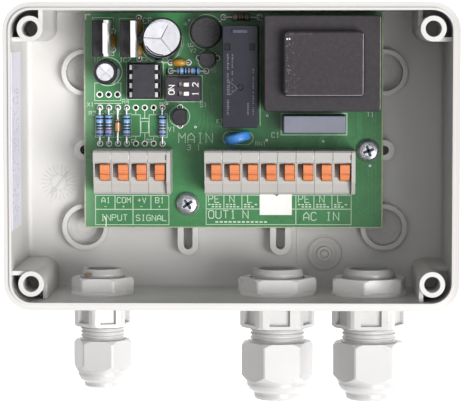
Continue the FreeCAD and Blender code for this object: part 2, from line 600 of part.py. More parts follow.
TRANSFORMER_PINS = [(TRANSFORMER["x0"] + 2.0, y) for y in (14.9, 19.9, 29.9, 34.9)]
TRANSFORMER_PINS += [(TRANSFORMER["x1"] - 2.0, y) for y in (14.9, 34.9)]
RELAY_PINS = [(-1.5, 9.0), (5.4, 9.0), (-1.5, 24.5), (5.4, 24.5), (2.0, 31.8)]
FILM_PINS = [(15.05, 7.8), (30.05, 7.8)]
VARISTOR_PINS = [(-1.2, 3.1), (3.6, 4.3)]


def relay():
    case, inside = shelled(RELAY, 0.8, 0.5)
    z1 = RELAY["z1"]
    for x0, x1 in ((RELAY["x0"] + 0.5, RELAY["x0"] + 2.2), (RELAY["x1"] - 2.4, RELAY["x1"] - 0.8)):
        case = case.cut(block(x0, x1, 28.3, 30.2, z1 - 0.45, z1 + 1))
    case = case.cut(ring(0.95, 0.55, 1.95, 18.1, z1 - 0.4, z1 + 1))
    rib = rounded_plate(-0.4, 4.4, 32.9, 34.1, z1 - 0.2, z1 + 0.25, 0.35)
    save("relay_case", [case.fuse(rib).cut(inside)])
    core = rod(1.6, (2.0, 11.0, TOP + 6.5), (2.0, 27.0, TOP + 6.5))
    bobbin = [rod(3.4, (2.0, y, TOP + 6.5), (2.0, y + 1.0, TOP + 6.5)) for y in (11.0, 26.0)]
    winding = rod(3.0, (2.0, 12.0, TOP + 6.5), (2.0, 26.0, TOP + 6.5))
    save("relay_coil", [fuse([core, winding] + bobbin)])


def small_boxes():
    film = rounded_plate(*[FILM_CAP[k] for k in ("x0", "x1", "y0", "y1", "z0", "z1")], 0.4)
    film = film.makeFillet(0.3, edges_at_z(film, FILM_CAP["z1"]))
    save("film_capacitor", [film])

    v = VARISTOR
    z = TOP + 1.2 + v["r"]
    disc = rod(v["r"], (v["x"], v["y"] - v["t"] / 2, z), (v["x"], v["y"] + v["t"] / 2, z))
    disc = disc.makeFillet(1.1, [e for e in disc.Edges if e.Curve.TypeId == "Part::GeomCircle"])
    disc.rotate(vec(v["x"], v["y"], TOP + 1.2), vec(1, 0, 0), v["lean"])
    disc.rotate(vec(v["x"], v["y"], 0), vec(0, 0, 1), v["turn"])
    save("varistor", [disc])

    b = BRIDGE
    body = rod(b["r"], (b["x"], b["y"], b["z0"]), (b["x"], b["y"], b["z1"]))
    save("bridge_rectifier", [body.makeFillet(0.5, edges_at_z(body, b["z1"]))])


BRIDGE_PINS = [(BRIDGE["x"] + sx * 2.2, BRIDGE["y"] + sy * 2.2) for sx in (-1, 1) for sy in (-1, 1)]


# ---- Socketed chip ----
def chip_rows():
    """(side, y) of each of the eight chip legs."""
    return [(s, SOCKET["y"] + (k - 1.5) * PITCH) for s in (-1, 1) for k in range(4)]


def socketed_chip():
    x, y, w, h, z1 = (SOCKET[k] for k in ("x", "y", "w", "h", "z1"))
    z0 = TOP + 0.2
    frame = block(x - w / 2, x + w / 2, y - h / 2, y + h / 2, z0, z1)
    frame = frame.cut(block(x - 2.4, x + 2.4, y - h / 2 + 1.6, y + h / 2 - 1.6, z0 - 1, z1 + 1))
    for s, leg_y in chip_rows():
        cx = x + s * 3.81
        frame = frame.cut(block(cx - 0.55, cx + 0.55, leg_y - 0.6, leg_y + 0.6, z1 - 2.2, z1 + 1))
    save("ic_socket", [frame])

    body = block(x - 3.15, x + 3.15, y - 4.8, y + 4.8, z1 + 0.15, z1 + 3.45)
    body = body.makeChamfer(0.25, edges_at_z(body, z1 + 3.45))
    body = body.cut(rod(0.55, (x - 2.1, y + 3.7, z1 + 3.3), (x - 2.1, y + 3.7, z1 + 4)))
    save("ic_chip", [body])

    legs = []
    for s, leg_y in chip_rows():
        x_out, x_in = x + s * 3.95, x + s * 3.15
        z_mid = z1 + 1.9
        shoulder = block(*sorted((x_in, x_out)), leg_y - 0.7, leg_y + 0.7, z_mid - 0.14, z_mid + 0.14)
        drop = block(*sorted((x_out - s * 0.28, x_out)), leg_y - 0.7, leg_y + 0.7, z1 + 0.1, z_mid)
        pin = block(*sorted((x_out - s * 0.28, x_out)), leg_y - 0.25, leg_y + 0.25, z1 - 2.1, z1 + 0.2)
        legs.append(fuse([shoulder, drop, pin]))
    save("ic_legs", legs)


SOCKET_PINS = [(SOCKET["x"] + s * 3.81, y) for s, y in chip_rows()]


# ---- Two-way switch ----
def switch():
    x, y, w, h, z0, z1 = (SWITCH[k] for k in ("x", "y", "w", "h", "z0", "z1"))
    body = rounded_plate(x - w / 2, x + w / 2, y - h / 2, y + h / 2, z0, z1, 0.25)
    for row in SWITCH_ROWS:
        body = body.cut(block(x - WINDOW_LEN / 2, x + WINDOW_LEN / 2, row - 0.66, row + 0.66, z1 - 1.6, z1 + 1))
    for s in (-1, 1):
        notch = sorted((y + s * (h / 2 - 0.35), y + s * (h / 2 + 1)))
        body = body.cut(block(x - 1.7, x + 1.7, *notch, z1 - 0.9, z1 + 1))
    save("switch_body", [body])
    x_end = x + WINDOW_LEN / 2 - 0.08
    for k, row in enumerate(SWITCH_ROWS, 1):
        knob = block(x_end - SLIDER_LEN, x_end, row - SLIDER_W / 2, row + SLIDER_W / 2, z1 - 1.55, z1 + 0.35)
        save(f"switch_slider_{k}", [knob.makeChamfer(0.12, edges_at_z(knob, z1 + 0.35))])


SWITCH_PINS = [(SWITCH["x"] + s * 3.81, row) for s in (-1, 1) for row in SWITCH_ROWS]


# ---- Terminal strips ----
def pole_starts():
    """The left side of every pole, in strip order."""
    first = [INPUT_X + POLE * k for k in range(INPUT_POLES)]
    return first, [POWER_X + POLE * k for k in range(POWER_POLES)]


def terminal_module(x):
    """One pole: a housing with a lever well, a test slot, a wire funnel and a spring chamber."""
    x1 = x + POLE_BODY
    z = STRIP_TOP
    outline = [(STRIP_Y1, TOP), (STRIP_Y1, z - 0.5), (STRIP_Y1 - 0.5, z), (-2.55, z), (-2.8, z - 0.35),
               (-2.9, z - 1.5), (-8.6, z - 2.2), (STRIP_Y0 + 0.6, z - 3.4), (STRIP_Y0, z - 4.2),
               (STRIP_Y0, TOP)]
    body = extrude_x(outline, x, x1)
    well_x0, well_x1 = x + LEVER_X - LEVER_GAP, x + LEVER_X + LEVER_W + LEVER_GAP
    floor = z - 8.9
    cuts = [block(well_x0, well_x1, LEVER_Y0 - LEVER_GAP, LEVER_Y1 + LEVER_GAP, floor, z + 1),
            block(x + 0.4, well_x0 + 0.1, -6.75, LEVER_Y1 + LEVER_GAP, floor, z + 1),
            block(x + 0.7, x + POLE_BODY - 0.7, STRIP_Y0 + 1.5, STRIP_Y1 - 1.1, TOP + 1.2, floor + 0.01),
            block(x + 1.1, x + POLE_BODY - 1.1, STRIP_Y0 - 1, STRIP_Y0 + 2, TOP + 2.2, TOP + 5.2),
            block(x + POLE_BODY - 0.3, x1 + 1, -1.9, -0.5, z - 0.6, z + 1),
            block(x + POLE_BODY / 2 - 0.42, x + POLE_BODY / 2 + 0.42, -7.42, -6.58, TOP - 1, TOP + 1.3)]
    for cut in cuts:
        body = body.cut(cut)
    return body


def terminal_end_plate(x):
    z = STRIP_TOP
    outline = [(STRIP_Y1, TOP), (STRIP_Y1, z - 0.5), (STRIP_Y1 - 0.5, z), (-8.0, z),
               (STRIP_Y0 + 0.3, z - 2.6), (STRIP_Y0, z - 3.2), (STRIP_Y0, TOP)]
    return extrude_x(outline, x, x + END_PLATE_T)


def lever(x):
    """An actuating lever with a screwdriver notch across its head."""
    z = STRIP_TOP - 0.15
    head = [(LEVER_Y1, z - 7.4), (LEVER_Y1, z - 0.25), (LEVER_Y1 - 0.3, z), (-5.65, z - 0.05),
            (-5.8, z - 0.55), (-6.0, z - 0.55), (-6.1, z - 0.2), (LEVER_Y0 + 0.35, z - 0.75),
            (LEVER_Y0, z - 1.2), (LEVER_Y0, z - 7.4)]
    return extrude_x(head, x + LEVER_X, x + LEVER_X + LEVER_W)


def clamp_spring(x):
    """A bent strip that presses the wire on the contact."""
    z = TOP + 1.3
    strip = [(-1.2, z), (-1.2, z + 3.6), (-1.5, z + 3.9), (-8.4, z + 2.3), (-8.3, z + 1.9), (-1.7, z + 3.4),
             (-1.6, z + 0.35), (-4.4, z + 0.35), (-4.4, z)]
    return extrude_x(strip, x + 1.2, x + POLE_BODY - 1.2)


def contact(x):
    """A current bar with its solder pin."""
    middle = x + POLE_BODY / 2
    bar = block(middle - 1.2, middle + 1.2, -9.4, -4.7, TOP + 1.25, TOP + 1.9)
    pin = block(middle - 0.35, middle + 0.35, -7.35, -6.65, lead_end(middle, -7.0), TOP + 1.5)
    return fuse([bar, pin])


def terminals():
    first, second = pole_starts()
    save("terminal_strip_input", [terminal_module(x) for x in first])
    save("terminal_strip_power", [terminal_module(x) for x in second])
    ends = (INPUT_X + POLE * INPUT_POLES, POWER_X + POLE * POWER_POLES)
    save("terminal_end_plates", [terminal_end_plate(x) for x in ends])
    for k, x in enumerate(first + second, 1):
        save(f"lever_{k:02d}", [lever(x)])
    save("clamp_springs", [clamp_spring(x) for x in first + second])
    save("terminal_contacts", [contact(x) for x in first + second])


# ---- Board, screws and what sits on the board ----
def board_screw(x, y, recess_turn):
    """A pan-head screw with a cross recess."""
    z1 = TOP + SCREW_HEAD_H
    head = turned_z([(0, TOP), (SCREW_HEAD_R - 0.1, TOP), (SCREW_HEAD_R, TOP + 0.5),
                     (SCREW_HEAD_R * 0.93, TOP + 1.2), (SCREW_HEAD_R * 0.74, TOP + 1.8),
                     (SCREW_HEAD_R * 0.45, TOP + 2.1), (0, z1)], x, y)
    shank = rod(SCREW_R, (x, y, SLOT_BOTTOM + 0.3), (x, y, TOP + 0.1))
    screw = head.fuse(shank)
    for turn in (recess_turn, recess_turn + 90):
        arm = block(x - 1.6, x + 1.6, y - 0.4, y + 0.4, TOP + 0.9, z1 + 0.5)
        arm.rotate(vec(x, y, 0), vec(0, 0, 1), turn)
        screw = screw.cut(arm)
    return screw.removeSplitter()


def board_holes():
    """(x, y, radius) of every hole in the board."""
    holes = [(x, y, HOLE_R) for ends in AXIAL.values() for x, y in ends]
    holes += [(x, y, HOLE_R) for x, y in SPARE_HOLES]
    holes += [(x, y, 0.5) for x, y in HEADER_HOLES]
    holes += [(x, y, HOLE_R) for x, y in BRIDGE_PINS + SOCKET_PINS + SWITCH_PINS + VARISTOR_PINS]
    for can in (CAN_BIG, CAN_SMALL):
        gap = PITCH * (1.0 if can["r"] > 4 else 0.5)
        holes += [(can["x"] + s * gap, can["y"], HOLE_R) for s in (-1, 1)]
    for part in REGULATORS:
        holes += [(part["x"] - 1.6, part["y"] + k * PITCH, 0.5) for k in (-1, 0, 1)]
    for part in TRANSISTORS:
        holes += [(x, y, HOLE_R) for x, y in transistor_holes(part)]
    holes += [(x, y, 0.6) for x, y in TRANSFORMER_PINS + RELAY_PINS + FILM_PINS]
    first, second = pole_starts()
    holes += [(x + POLE_BODY / 2, -7.0, 0.6) for x in first + second]
    holes += [(x, y, SCREW_HOLE_R) for x, y in SCREWS]
    return holes


def circuit_board():
    board = block(BOARD_X0, BOARD_X1, BOARD_Y0, BOARD_Y1, BOARD_Z0, TOP)
    drills = [rod(r, (x, y, BOARD_Z0 - 1), (x, y, TOP + 1)) for x, y, r in board_holes()]
    save("circuit_board", [board.cut(Part.makeCompound(drills))])
    save("board_screws", [board_screw(x, y, turn) for (x, y), turn in zip(SCREWS, SCREW_TURNS)])
    save("board_sticker", [block(7.2, 16.3, -18.25, -11.9, TOP, TOP + 0.12)])


def components():
    blue = [axial_body(AXIAL[k], 6.1, RESISTOR_PROFILE) for k in ("r1", "r2", "r3", "r4")]
    save("film_resistors", blue + [axial_body(AXIAL["r5"], 6.6, RESISTOR_PROFILE)])
    save("fusible_resistor", [axial_body(AXIAL["f1"], 5.0, RESISTOR_PROFILE)])
    save("diode", [axial_body(AXIAL["d1"], 3.4, DIODE_PROFILE)])
    save("ceramic_capacitors", [axial_body(AXIAL[k], 3.9, BEAD_PROFILE) for k in ("c1", "c2", "c3", "c4")])
    save("capacitor_cans", [capacitor_can(CAN_BIG, (177, 62, -52)), capacitor_can(CAN_SMALL, (45, 135, 225, 315))])
    save("capacitor_sleeves", [capacitor_sleeve(CAN_BIG), capacitor_sleeve(CAN_SMALL)])
    save("regulator_packages", [regulator_package(p) for p in REGULATORS])
    save("regulator_tabs", [regulator_tab(p) for p in REGULATORS])
    save("transistors", [transistor_body(p) for p in TRANSISTORS])


def component_leads():
    lengths = {"d": 3.4, "c": 3.9, "r": 6.1, "f": 5.0}
    leads = []
    for name, ends in AXIAL.items():
        length = 6.6 if name == "r5" else lengths[name[0]]
        leads += axial_leads(ends, length)
    for can in (CAN_BIG, CAN_SMALL):
        leads += can_leads(can)
    for part in REGULATORS:
        leads += regulator_legs(part)
    for part in TRANSISTORS:
        leads += transistor_legs(part)
    leads += [straight_lead(x, y, BRIDGE["z0"]) for x, y in BRIDGE_PINS]
    leads += [straight_lead(x, y, TOP + 0.2) for x, y in SOCKET_PINS]
    leads += [straight_lead(x, y, SWITCH["z0"]) for x, y in SWITCH_PINS]
    leads += [straight_lead(x, y, TOP + 0.9) for x, y in VARISTOR_PINS]
    leads += [straight_lead(x, y, TOP + 3.0, 0.45) for x, y in TRANSFORMER_PINS + RELAY_PINS]
    leads += [straight_lead(x, y, FILM_CAP["z0"], 0.4) for x, y in FILM_PINS]
    save("component_leads", leads)


def main():
    os.makedirs(OUT, exist_ok=True)
    enclosure_base()
    inner_label()
    cable_glands()
    circuit_board()
    components()
    transformer()
    relay()
    small_boxes()
    socketed_chip()
    switch()
    terminals()
    component_leads()


main()
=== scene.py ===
"""Looks of the wall box control unit: materials, printed marks, solder pads, board tracks and small
moulded details around the CAD parts. The scene is in metres; sizes in this script are in millimetres
unless they belong to the camera, the lights or the floor."""

import json
import math
import random

import bmesh
import bpy
from mathutils import Matrix, Vector

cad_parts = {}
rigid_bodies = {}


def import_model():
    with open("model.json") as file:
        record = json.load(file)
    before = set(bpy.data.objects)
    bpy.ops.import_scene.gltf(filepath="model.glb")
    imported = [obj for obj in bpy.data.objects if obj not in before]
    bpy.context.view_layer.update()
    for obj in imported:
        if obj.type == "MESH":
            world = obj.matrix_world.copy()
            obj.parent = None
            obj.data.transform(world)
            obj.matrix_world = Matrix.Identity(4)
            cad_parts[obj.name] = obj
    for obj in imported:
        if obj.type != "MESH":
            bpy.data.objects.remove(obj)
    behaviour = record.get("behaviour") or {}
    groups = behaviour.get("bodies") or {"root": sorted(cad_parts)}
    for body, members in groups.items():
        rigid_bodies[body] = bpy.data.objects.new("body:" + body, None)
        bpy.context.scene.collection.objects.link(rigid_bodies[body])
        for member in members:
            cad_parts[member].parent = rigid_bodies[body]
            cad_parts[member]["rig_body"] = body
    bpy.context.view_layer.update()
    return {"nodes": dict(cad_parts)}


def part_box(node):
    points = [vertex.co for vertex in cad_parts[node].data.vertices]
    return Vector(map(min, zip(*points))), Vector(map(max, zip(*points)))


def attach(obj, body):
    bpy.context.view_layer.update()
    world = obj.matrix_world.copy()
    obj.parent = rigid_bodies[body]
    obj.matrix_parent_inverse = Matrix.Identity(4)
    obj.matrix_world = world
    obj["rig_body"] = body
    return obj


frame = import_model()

NODES = frame["nodes"]
SCENE = bpy.context.scene
MM = 0.001


def body_of(node):
    return NODES[node]["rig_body"]


def box_mm(node):
    low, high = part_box(node)
    return low / MM, high / MM


# ---- materials
M = {}


def tree_of(name):
    mat = bpy.data.materials.new(name)
    mat.use_nodes = True
    tree = mat.node_tree
    tree.nodes.clear()
    out = tree.nodes.new("ShaderNodeOutputMaterial")
    bsdf = tree.nodes.new("ShaderNodeBsdfPrincipled")
    tree.links.new(bsdf.outputs["BSDF"], out.inputs["Surface"])
    return mat, tree, bsdf


def noise(tree, coords, scale, detail=3.0, rough=0.55, distortion=0.0, stretch=None):
    node = tree.nodes.new("ShaderNodeTexNoise")
    node.inputs["Scale"].default_value = scale
    node.inputs["Detail"].default_value = detail
    node.inputs["Roughness"].default_value = rough
    node.inputs["Distortion"].default_value = distortion
    source = coords
    if stretch:
        mapping = tree.nodes.new("ShaderNodeMapping")
        mapping.inputs["Scale"].default_value = stretch
        tree.links.new(coords, mapping.inputs["Vector"])
        source = mapping.outputs["Vector"]
    tree.links.new(source, node.inputs["Vector"])
    return node.outputs["Fac"]


def spread(tree, value, low, high, to_low, to_high):
    node = tree.nodes.new("ShaderNodeMapRange")
    for key, number in zip(("From Min", "From Max", "To Min", "To Max"), (low, high, to_low, to_high)):
        node.inputs[key].default_value = number
    tree.links.new(value, node.inputs["Value"])
    return node.outputs["Result"]


def blend(tree, factor, first, second):
    """Mixes two colours, each a tuple or a socket."""
    node = tree.nodes.new("ShaderNodeMix")
    node.data_type = "RGBA"
    tree.links.new(factor, node.inputs[0])
    for socket, value in ((node.inputs[6], first), (node.inputs[7], second)):
        if isinstance(value, tuple):
            socket.default_value = (*value, 1)
        else:
            tree.links.new(value, socket)
    return node.outputs[2]


def shade(colour, factor):
    return tuple(max(0.0, min(1.0, c * factor)) for c in colour)


def surface(name, colour, rough=0.5, metal=0.0, vary=0.08, spot=90, grain=2500, bump=0.15, depth=0.02,
            rough_vary=0.12, coat=0.0, coat_rough=0.15, sub=0.0, dust=0.0, dust_colour=(0.75, 0.74, 0.7),
            edge=0.1, stretch=None, transmission=0.0, tint=None, fade=None):
    """Adds to M a material with mottled colour, uneven gloss, fine grain and softened edges. A fade
    changes the colour along an axis, given as (axis, start, end, share, colour)."""
    mat, tree, bsdf = tree_of(name)
    coords = tree.nodes.new("ShaderNodeTexCoord").outputs["Object"]
    large = noise(tree, coords, spot, 4.0, 0.6)
    fine = noise(tree, coords, grain, 3.0, 0.6, stretch=stretch)
    dark, light = shade(colour, 1 - vary), tint or shade(colour, 1 + vary)
    base = blend(tree, spread(tree, large, 0.3, 0.7, 0, 1), dark, light)
    speck = spread(tree, fine, 0.35, 0.65, 0, 1)
    base = blend(tree, spread(tree, speck, 0, 1, 0, 0.5), base, shade(colour, 1 - 0.6 * vary))
    if dust:
        lint = noise(tree, coords, spot * 3.1, 6.0, 0.7, 0.4)
        base = blend(tree, spread(tree, lint, 0.52, 0.8, 0, dust), base, dust_colour)
    if fade:
        axis, start, end, share, faded = fade
        place = tree.nodes.new("ShaderNodeSeparateXYZ")
        tree.links.new(coords, place.inputs[0])
        base = blend(tree, spread(tree, place.outputs[axis], start * MM, end * MM, 0, share), base, faded)
    tree.links.new(base, bsdf.inputs["Base Color"])
    smear = noise(tree, coords, spot * 1.7, 5.0, 0.65, 0.3)
    low, high = max(0.02, rough - rough_vary), min(1.0, rough + rough_vary)
    tree.links.new(spread(tree, smear, 0.3, 0.7, low, high), bsdf.inputs["Roughness"])
    bsdf.inputs["Metallic"].default_value = metal
    bsdf.inputs["Coat Weight"].default_value = coat
    bsdf.inputs["Coat Roughness"].default_value = coat_rough
    bsdf.inputs["Subsurface Weight"].default_value = sub
    bsdf.inputs["Subsurface Radius"].default_value = (1.0, 0.9, 0.8)
    bsdf.inputs["Subsurface Scale"].default_value = 0.0012
    bsdf.inputs["Transmission Weight"].default_value = transmission
    relief = tree.nodes.new("ShaderNodeBump")
    relief.inputs["Strength"].default_value = bump
    relief.inputs["Distance"].default_value = depth * MM
    tree.links.new(fine, relief.inputs["Height"])
    if edge:
        soft = tree.nodes.new("ShaderNodeBevel")
        soft.samples = 4
        soft.inputs["Radius"].default_value = edge * MM
        tree.links.new(soft.outputs["Normal"], relief.inputs["Normal"])
    tree.links.new(relief.outputs["Normal"], bsdf.inputs["Normal"])
    M[name] = mat


def flat(name, colour, rough, vary, grain=4000, bump=0.1, spot=900, metal=0.0):
    """A material for thin marks, with no softened edges."""
    surface(name, colour, rough, metal, vary, spot, grain, bump, edge=0)


# the fade darkens the housing from x = 57 mm outward, over the right wall and the right end of the rim:
# painted shade on the right side
surface("housing", (0.68, 0.672, 0.665), 0.46, vary=0.025, spot=30, grain=5200, bump=0.12, depth=0.02,
        sub=0.05, dust=0.05, edge=0.25, fade=("X", 57.0, 60.0, 0.5, (0.50, 0.485, 0.475)))
surface("label", (0.82, 0.81, 0.92), 0.35, vary=0.02, spot=60, grain=900, bump=0.05, edge=0.05)
# the glands are the same plastic as the lock nuts but get a darker tone: painted shade that holds back the
# strong light on them outside the box
surface("gland", (0.545, 0.54, 0.54), 0.36, vary=0.02, spot=70, grain=4200, bump=0.1, sub=0.02, dust=0.04,
        edge=0.16)
surface("rubber", (0.035, 0.035, 0.036), 0.75, vary=0.2, spot=200, grain=4000, bump=0.35)
surface("board", (0.050, 0.232, 0.082), 0.34, vary=0.18, spot=110, grain=900, bump=0.1, coat=0.22,
        coat_rough=0.25, edge=0.05, dust=0.02, tint=(0.068, 0.275, 0.104),
        fade=("X", -37.5, -41.8, 0.34, (0.34, 0.44, 0.34)))
surface("board_edge", (0.30, 0.33, 0.14), 0.7, vary=0.15, spot=400, grain=3500, bump=0.4)
surface("trace", (0.064, 0.268, 0.100), 0.3, vary=0.1, spot=200, grain=1500, bump=0.1, coat=0.2)
flat("silk", (0.60, 0.72, 0.61), 0.6, 0.08, grain=5000, bump=0.3)
surface("solder", (0.94, 0.94, 0.92), 0.35, metal=0.12, vary=0.08, spot=900, grain=2600, bump=0.12,
        depth=0.02)
surface("zinc", (0.60, 0.61, 0.65), 0.33, metal=0.85, vary=0.16, spot=700, grain=2400, bump=0.12,
        depth=0.02)
surface("tin", (0.66, 0.67, 0.68), 0.34, metal=0.75, vary=0.06, spot=500, grain=2500, bump=0.05)
surface("sticker", (0.88, 0.88, 0.87), 0.55, vary=0.02, spot=300, grain=3000, bump=0.2)
surface("blue_lacquer", (0.22, 0.42, 0.72), 0.28, vary=0.1, spot=700, grain=3000, bump=0.1, coat=0.4,
        tint=(0.30, 0.52, 0.82))
surface("brown_lacquer", (0.34, 0.26, 0.21), 0.4, vary=0.15, spot=700, grain=3000, bump=0.2)
surface("diode_glass", (0.86, 0.45, 0.25), 0.08, vary=0.1, spot=900, grain=2000, bump=0.05, coat=0.8,
        coat_rough=0.04, transmission=0.35)
surface("ochre", (0.46, 0.26, 0.045), 0.34, vary=0.2, spot=700, grain=2600, bump=0.25, coat=0.3,
        tint=(0.62, 0.36, 0.06))
surface("can", (0.74, 0.74, 0.79), 0.36, metal=0.85, vary=0.08, spot=420, grain=2200, bump=0.06, depth=0.01)
surface("sleeve", (0.012, 0.012, 0.015), 0.3, vary=0.3, spot=400, grain=2500, bump=0.15, coat=0.3)
surface("epoxy", (0.036, 0.033, 0.040), 0.55, vary=0.2, spot=500, grain=5500, bump=0.45, depth=0.03,
        dust=0.03)
surface("mottle", (0.034, 0.033, 0.038), 0.5, vary=0.5, spot=2400, grain=3200, bump=0.8, depth=0.07,
        tint=(0.085, 0.082, 0.090))
surface("chip", (0.046, 0.044, 0.053), 0.6, vary=0.15, spot=500, grain=4000, bump=0.5, depth=0.04,
        dust=0.03)
surface("tab", (0.90, 0.90, 0.90), 0.36, metal=0.6, vary=0.04, spot=300, grain=2600, bump=0.04, depth=0.01)
surface("case", (0.040, 0.034, 0.041), 0.50, vary=0.22, spot=900, grain=3000, bump=0.5, depth=0.045,
        rough_vary=0.08)
surface("core", (0.30, 0.30, 0.31), 0.4, metal=0.9, vary=0.15, spot=300, grain=3000, bump=0.4,
        stretch=(0.1, 0.1, 3))
surface("copper", (0.62, 0.26, 0.10), 0.35, metal=0.9, vary=0.15, spot=300, grain=3000, bump=0.4)
surface("relay", (0.022, 0.022, 0.038), 0.46, vary=0.12, spot=300, grain=4500, bump=0.25)
surface("lavender", (0.225, 0.235, 0.29), 0.5, vary=0.07, spot=200, grain=3800, bump=0.3)
surface("blue_epoxy", (0.09, 0.30, 0.72), 0.34, vary=0.1, spot=400, grain=3000, bump=0.2, coat=0.3)
surface("socket", (0.022, 0.022, 0.025), 0.5, vary=0.2, spot=500, grain=4500, bump=0.3)
surface("switch", (0.055, 0.042, 0.058), 0.5, vary=0.12, spot=400, grain=4500, bump=0.3)
surface("knob", (0.85, 0.85, 0.83), 0.4, vary=0.04, spot=600, grain=4000, bump=0.15, sub=0.1)
surface("terminal", (0.49, 0.48, 0.465), 0.42, vary=0.03, spot=120, grain=4800, bump=0.2, sub=0.05,
        dust=0.03, edge=0.18)
surface("lever", (0.74, 0.27, 0.12), 0.38, vary=0.06, spot=400, grain=4200, bump=0.2, sub=0.15)
surface("spring", (0.62, 0.62, 0.63), 0.25, metal=1.0, vary=0.08, spot=300, grain=3000, bump=0.3)
flat("ink", (0.10, 0.09, 0.16), 0.6, 0.2)
flat("mark_white", (0.78, 0.80, 0.78), 0.6, 0.06)
flat("margin", (0.50, 0.56, 0.36), 0.5, 0.2, grain=2500, bump=0.2, spot=500)
flat("band_dark", (0.020, 0.018, 0.030), 0.35, 0.2, grain=3000)
flat("band_brown", (0.16, 0.06, 0.035), 0.35, 0.2, grain=3000)
flat("band_red", (0.30, 0.05, 0.06), 0.35, 0.2, grain=3000)
flat("band_pale", (0.38, 0.58, 0.86), 0.3, 0.1, grain=3000)
flat("stripe", (0.42, 0.47, 0.58), 0.3, 0.1, grain=2500, spot=500)
flat("faint", (0.16, 0.16, 0.19), 0.5, 0.25, grain=3500)
# painted highlight on the relay's rib face
flat("rib_highlight", (0.085, 0.09, 0.125), 0.4, 0.3, grain=2500, bump=0.3)
flat("speck", (0.40, 0.39, 0.38), 0.6, 0.25, bump=0.2)
flat("slot_shade", (0.42, 0.40, 0.38), 0.55, 0.1, bump=0.2, spot=300)
# painted glint: pale plates in the joints between terminal modules
flat("painted_glint", (0.80, 0.79, 0.78), 0.35, 0.05, bump=0.2, spot=300)
# painted shade for the grooves between the levers' grip ribs
flat("lever_groove_shade", (0.60, 0.20, 0.09), 0.45, 0.1, grain=4200, bump=0.2, spot=400)
# the lock nuts keep the lighter tone of the plastic; the glands' darker tone is painted shade
surface("lock_nut", (0.86, 0.85, 0.85), 0.32, vary=0.02, spot=70, grain=4200, bump=0.1, sub=0.1, dust=0.05,
        edge=0.3)
# painted shade for the floors of the screws' cross recesses
flat("recess", (0.10, 0.115, 0.15), 0.3, 0.3, grain=2500, bump=0.3, metal=0.6)
# painted highlights on the transformer's edges
flat("edge_shine", (0.30, 0.29, 0.31), 0.35, 0.3, grain=2500, bump=0.3, spot=600)
# painted shade for the relay's recess floors
flat("pit_shade", (0.012, 0.012, 0.016), 0.6, 0.3, grain=3000, bump=0.2)
flat("window", (0.80, 0.80, 0.81), 0.5, 0.2, grain=3000, bump=0.2)
flat("smudge", (0.36, 0.27, 0.17), 0.6, 0.3, grain=3000, bump=0.2)
flat("violet", (0.40, 0.36, 0.66), 0.5, 0.25)
# painted shade for engraved and turned grooves in the housing
flat("housing_groove_shade", (0.55, 0.545, 0.53), 0.5, 0.05, grain=4200, bump=0.2, spot=300)

PAINT = {
    "enclosure_base": "housing", "inner_label": "label", "gland_body_signal": "gland",
    "gland_bodies_power": "gland", "gland_flat_seals": "rubber", "gland_lock_nuts": "lock_nut",
    "circuit_board": "board", "board_screws": "zinc", "board_sticker": "sticker",
    "film_resistors": "blue_lacquer", "fusible_resistor": "brown_lacquer", "diode": "diode_glass",
    "ceramic_capacitors": "ochre", "capacitor_cans": "can", "capacitor_sleeves": "sleeve",
    "regulator_packages": "epoxy", "regulator_tabs": "tab", "transistors": "epoxy",
    "transformer_case": "case", "transformer_core": "core", "transformer_coil": "copper",
    "relay_case": "relay", "relay_coil": "copper", "film_capacitor": "lavender", "varistor": "blue_epoxy",
    "bridge_rectifier": "mottle", "ic_socket": "socket", "ic_chip": "chip", "ic_legs": "tin",
    "switch_body": "switch", "switch_slider_1": "knob", "switch_slider_2": "knob",
    "terminal_strip_input": "terminal", "terminal_strip_power": "terminal", "terminal_end_plates": "terminal",
    "clamp_springs": "spring", "terminal_contacts": "tin", "component_leads": "tin",
}
for node in NODES:
    if node.startswith("lever_"):
        PAINT[node] = "lever"
    elif node.startswith(("dome_nut", "clamp_cage")):
        PAINT[node] = "gland"
    elif node.startswith("seal_insert"):
        PAINT[node] = "rubber"
for node, key in PAINT.items():
    NODES[node].data.materials.clear()
    NODES[node].data.materials.append(M[key])


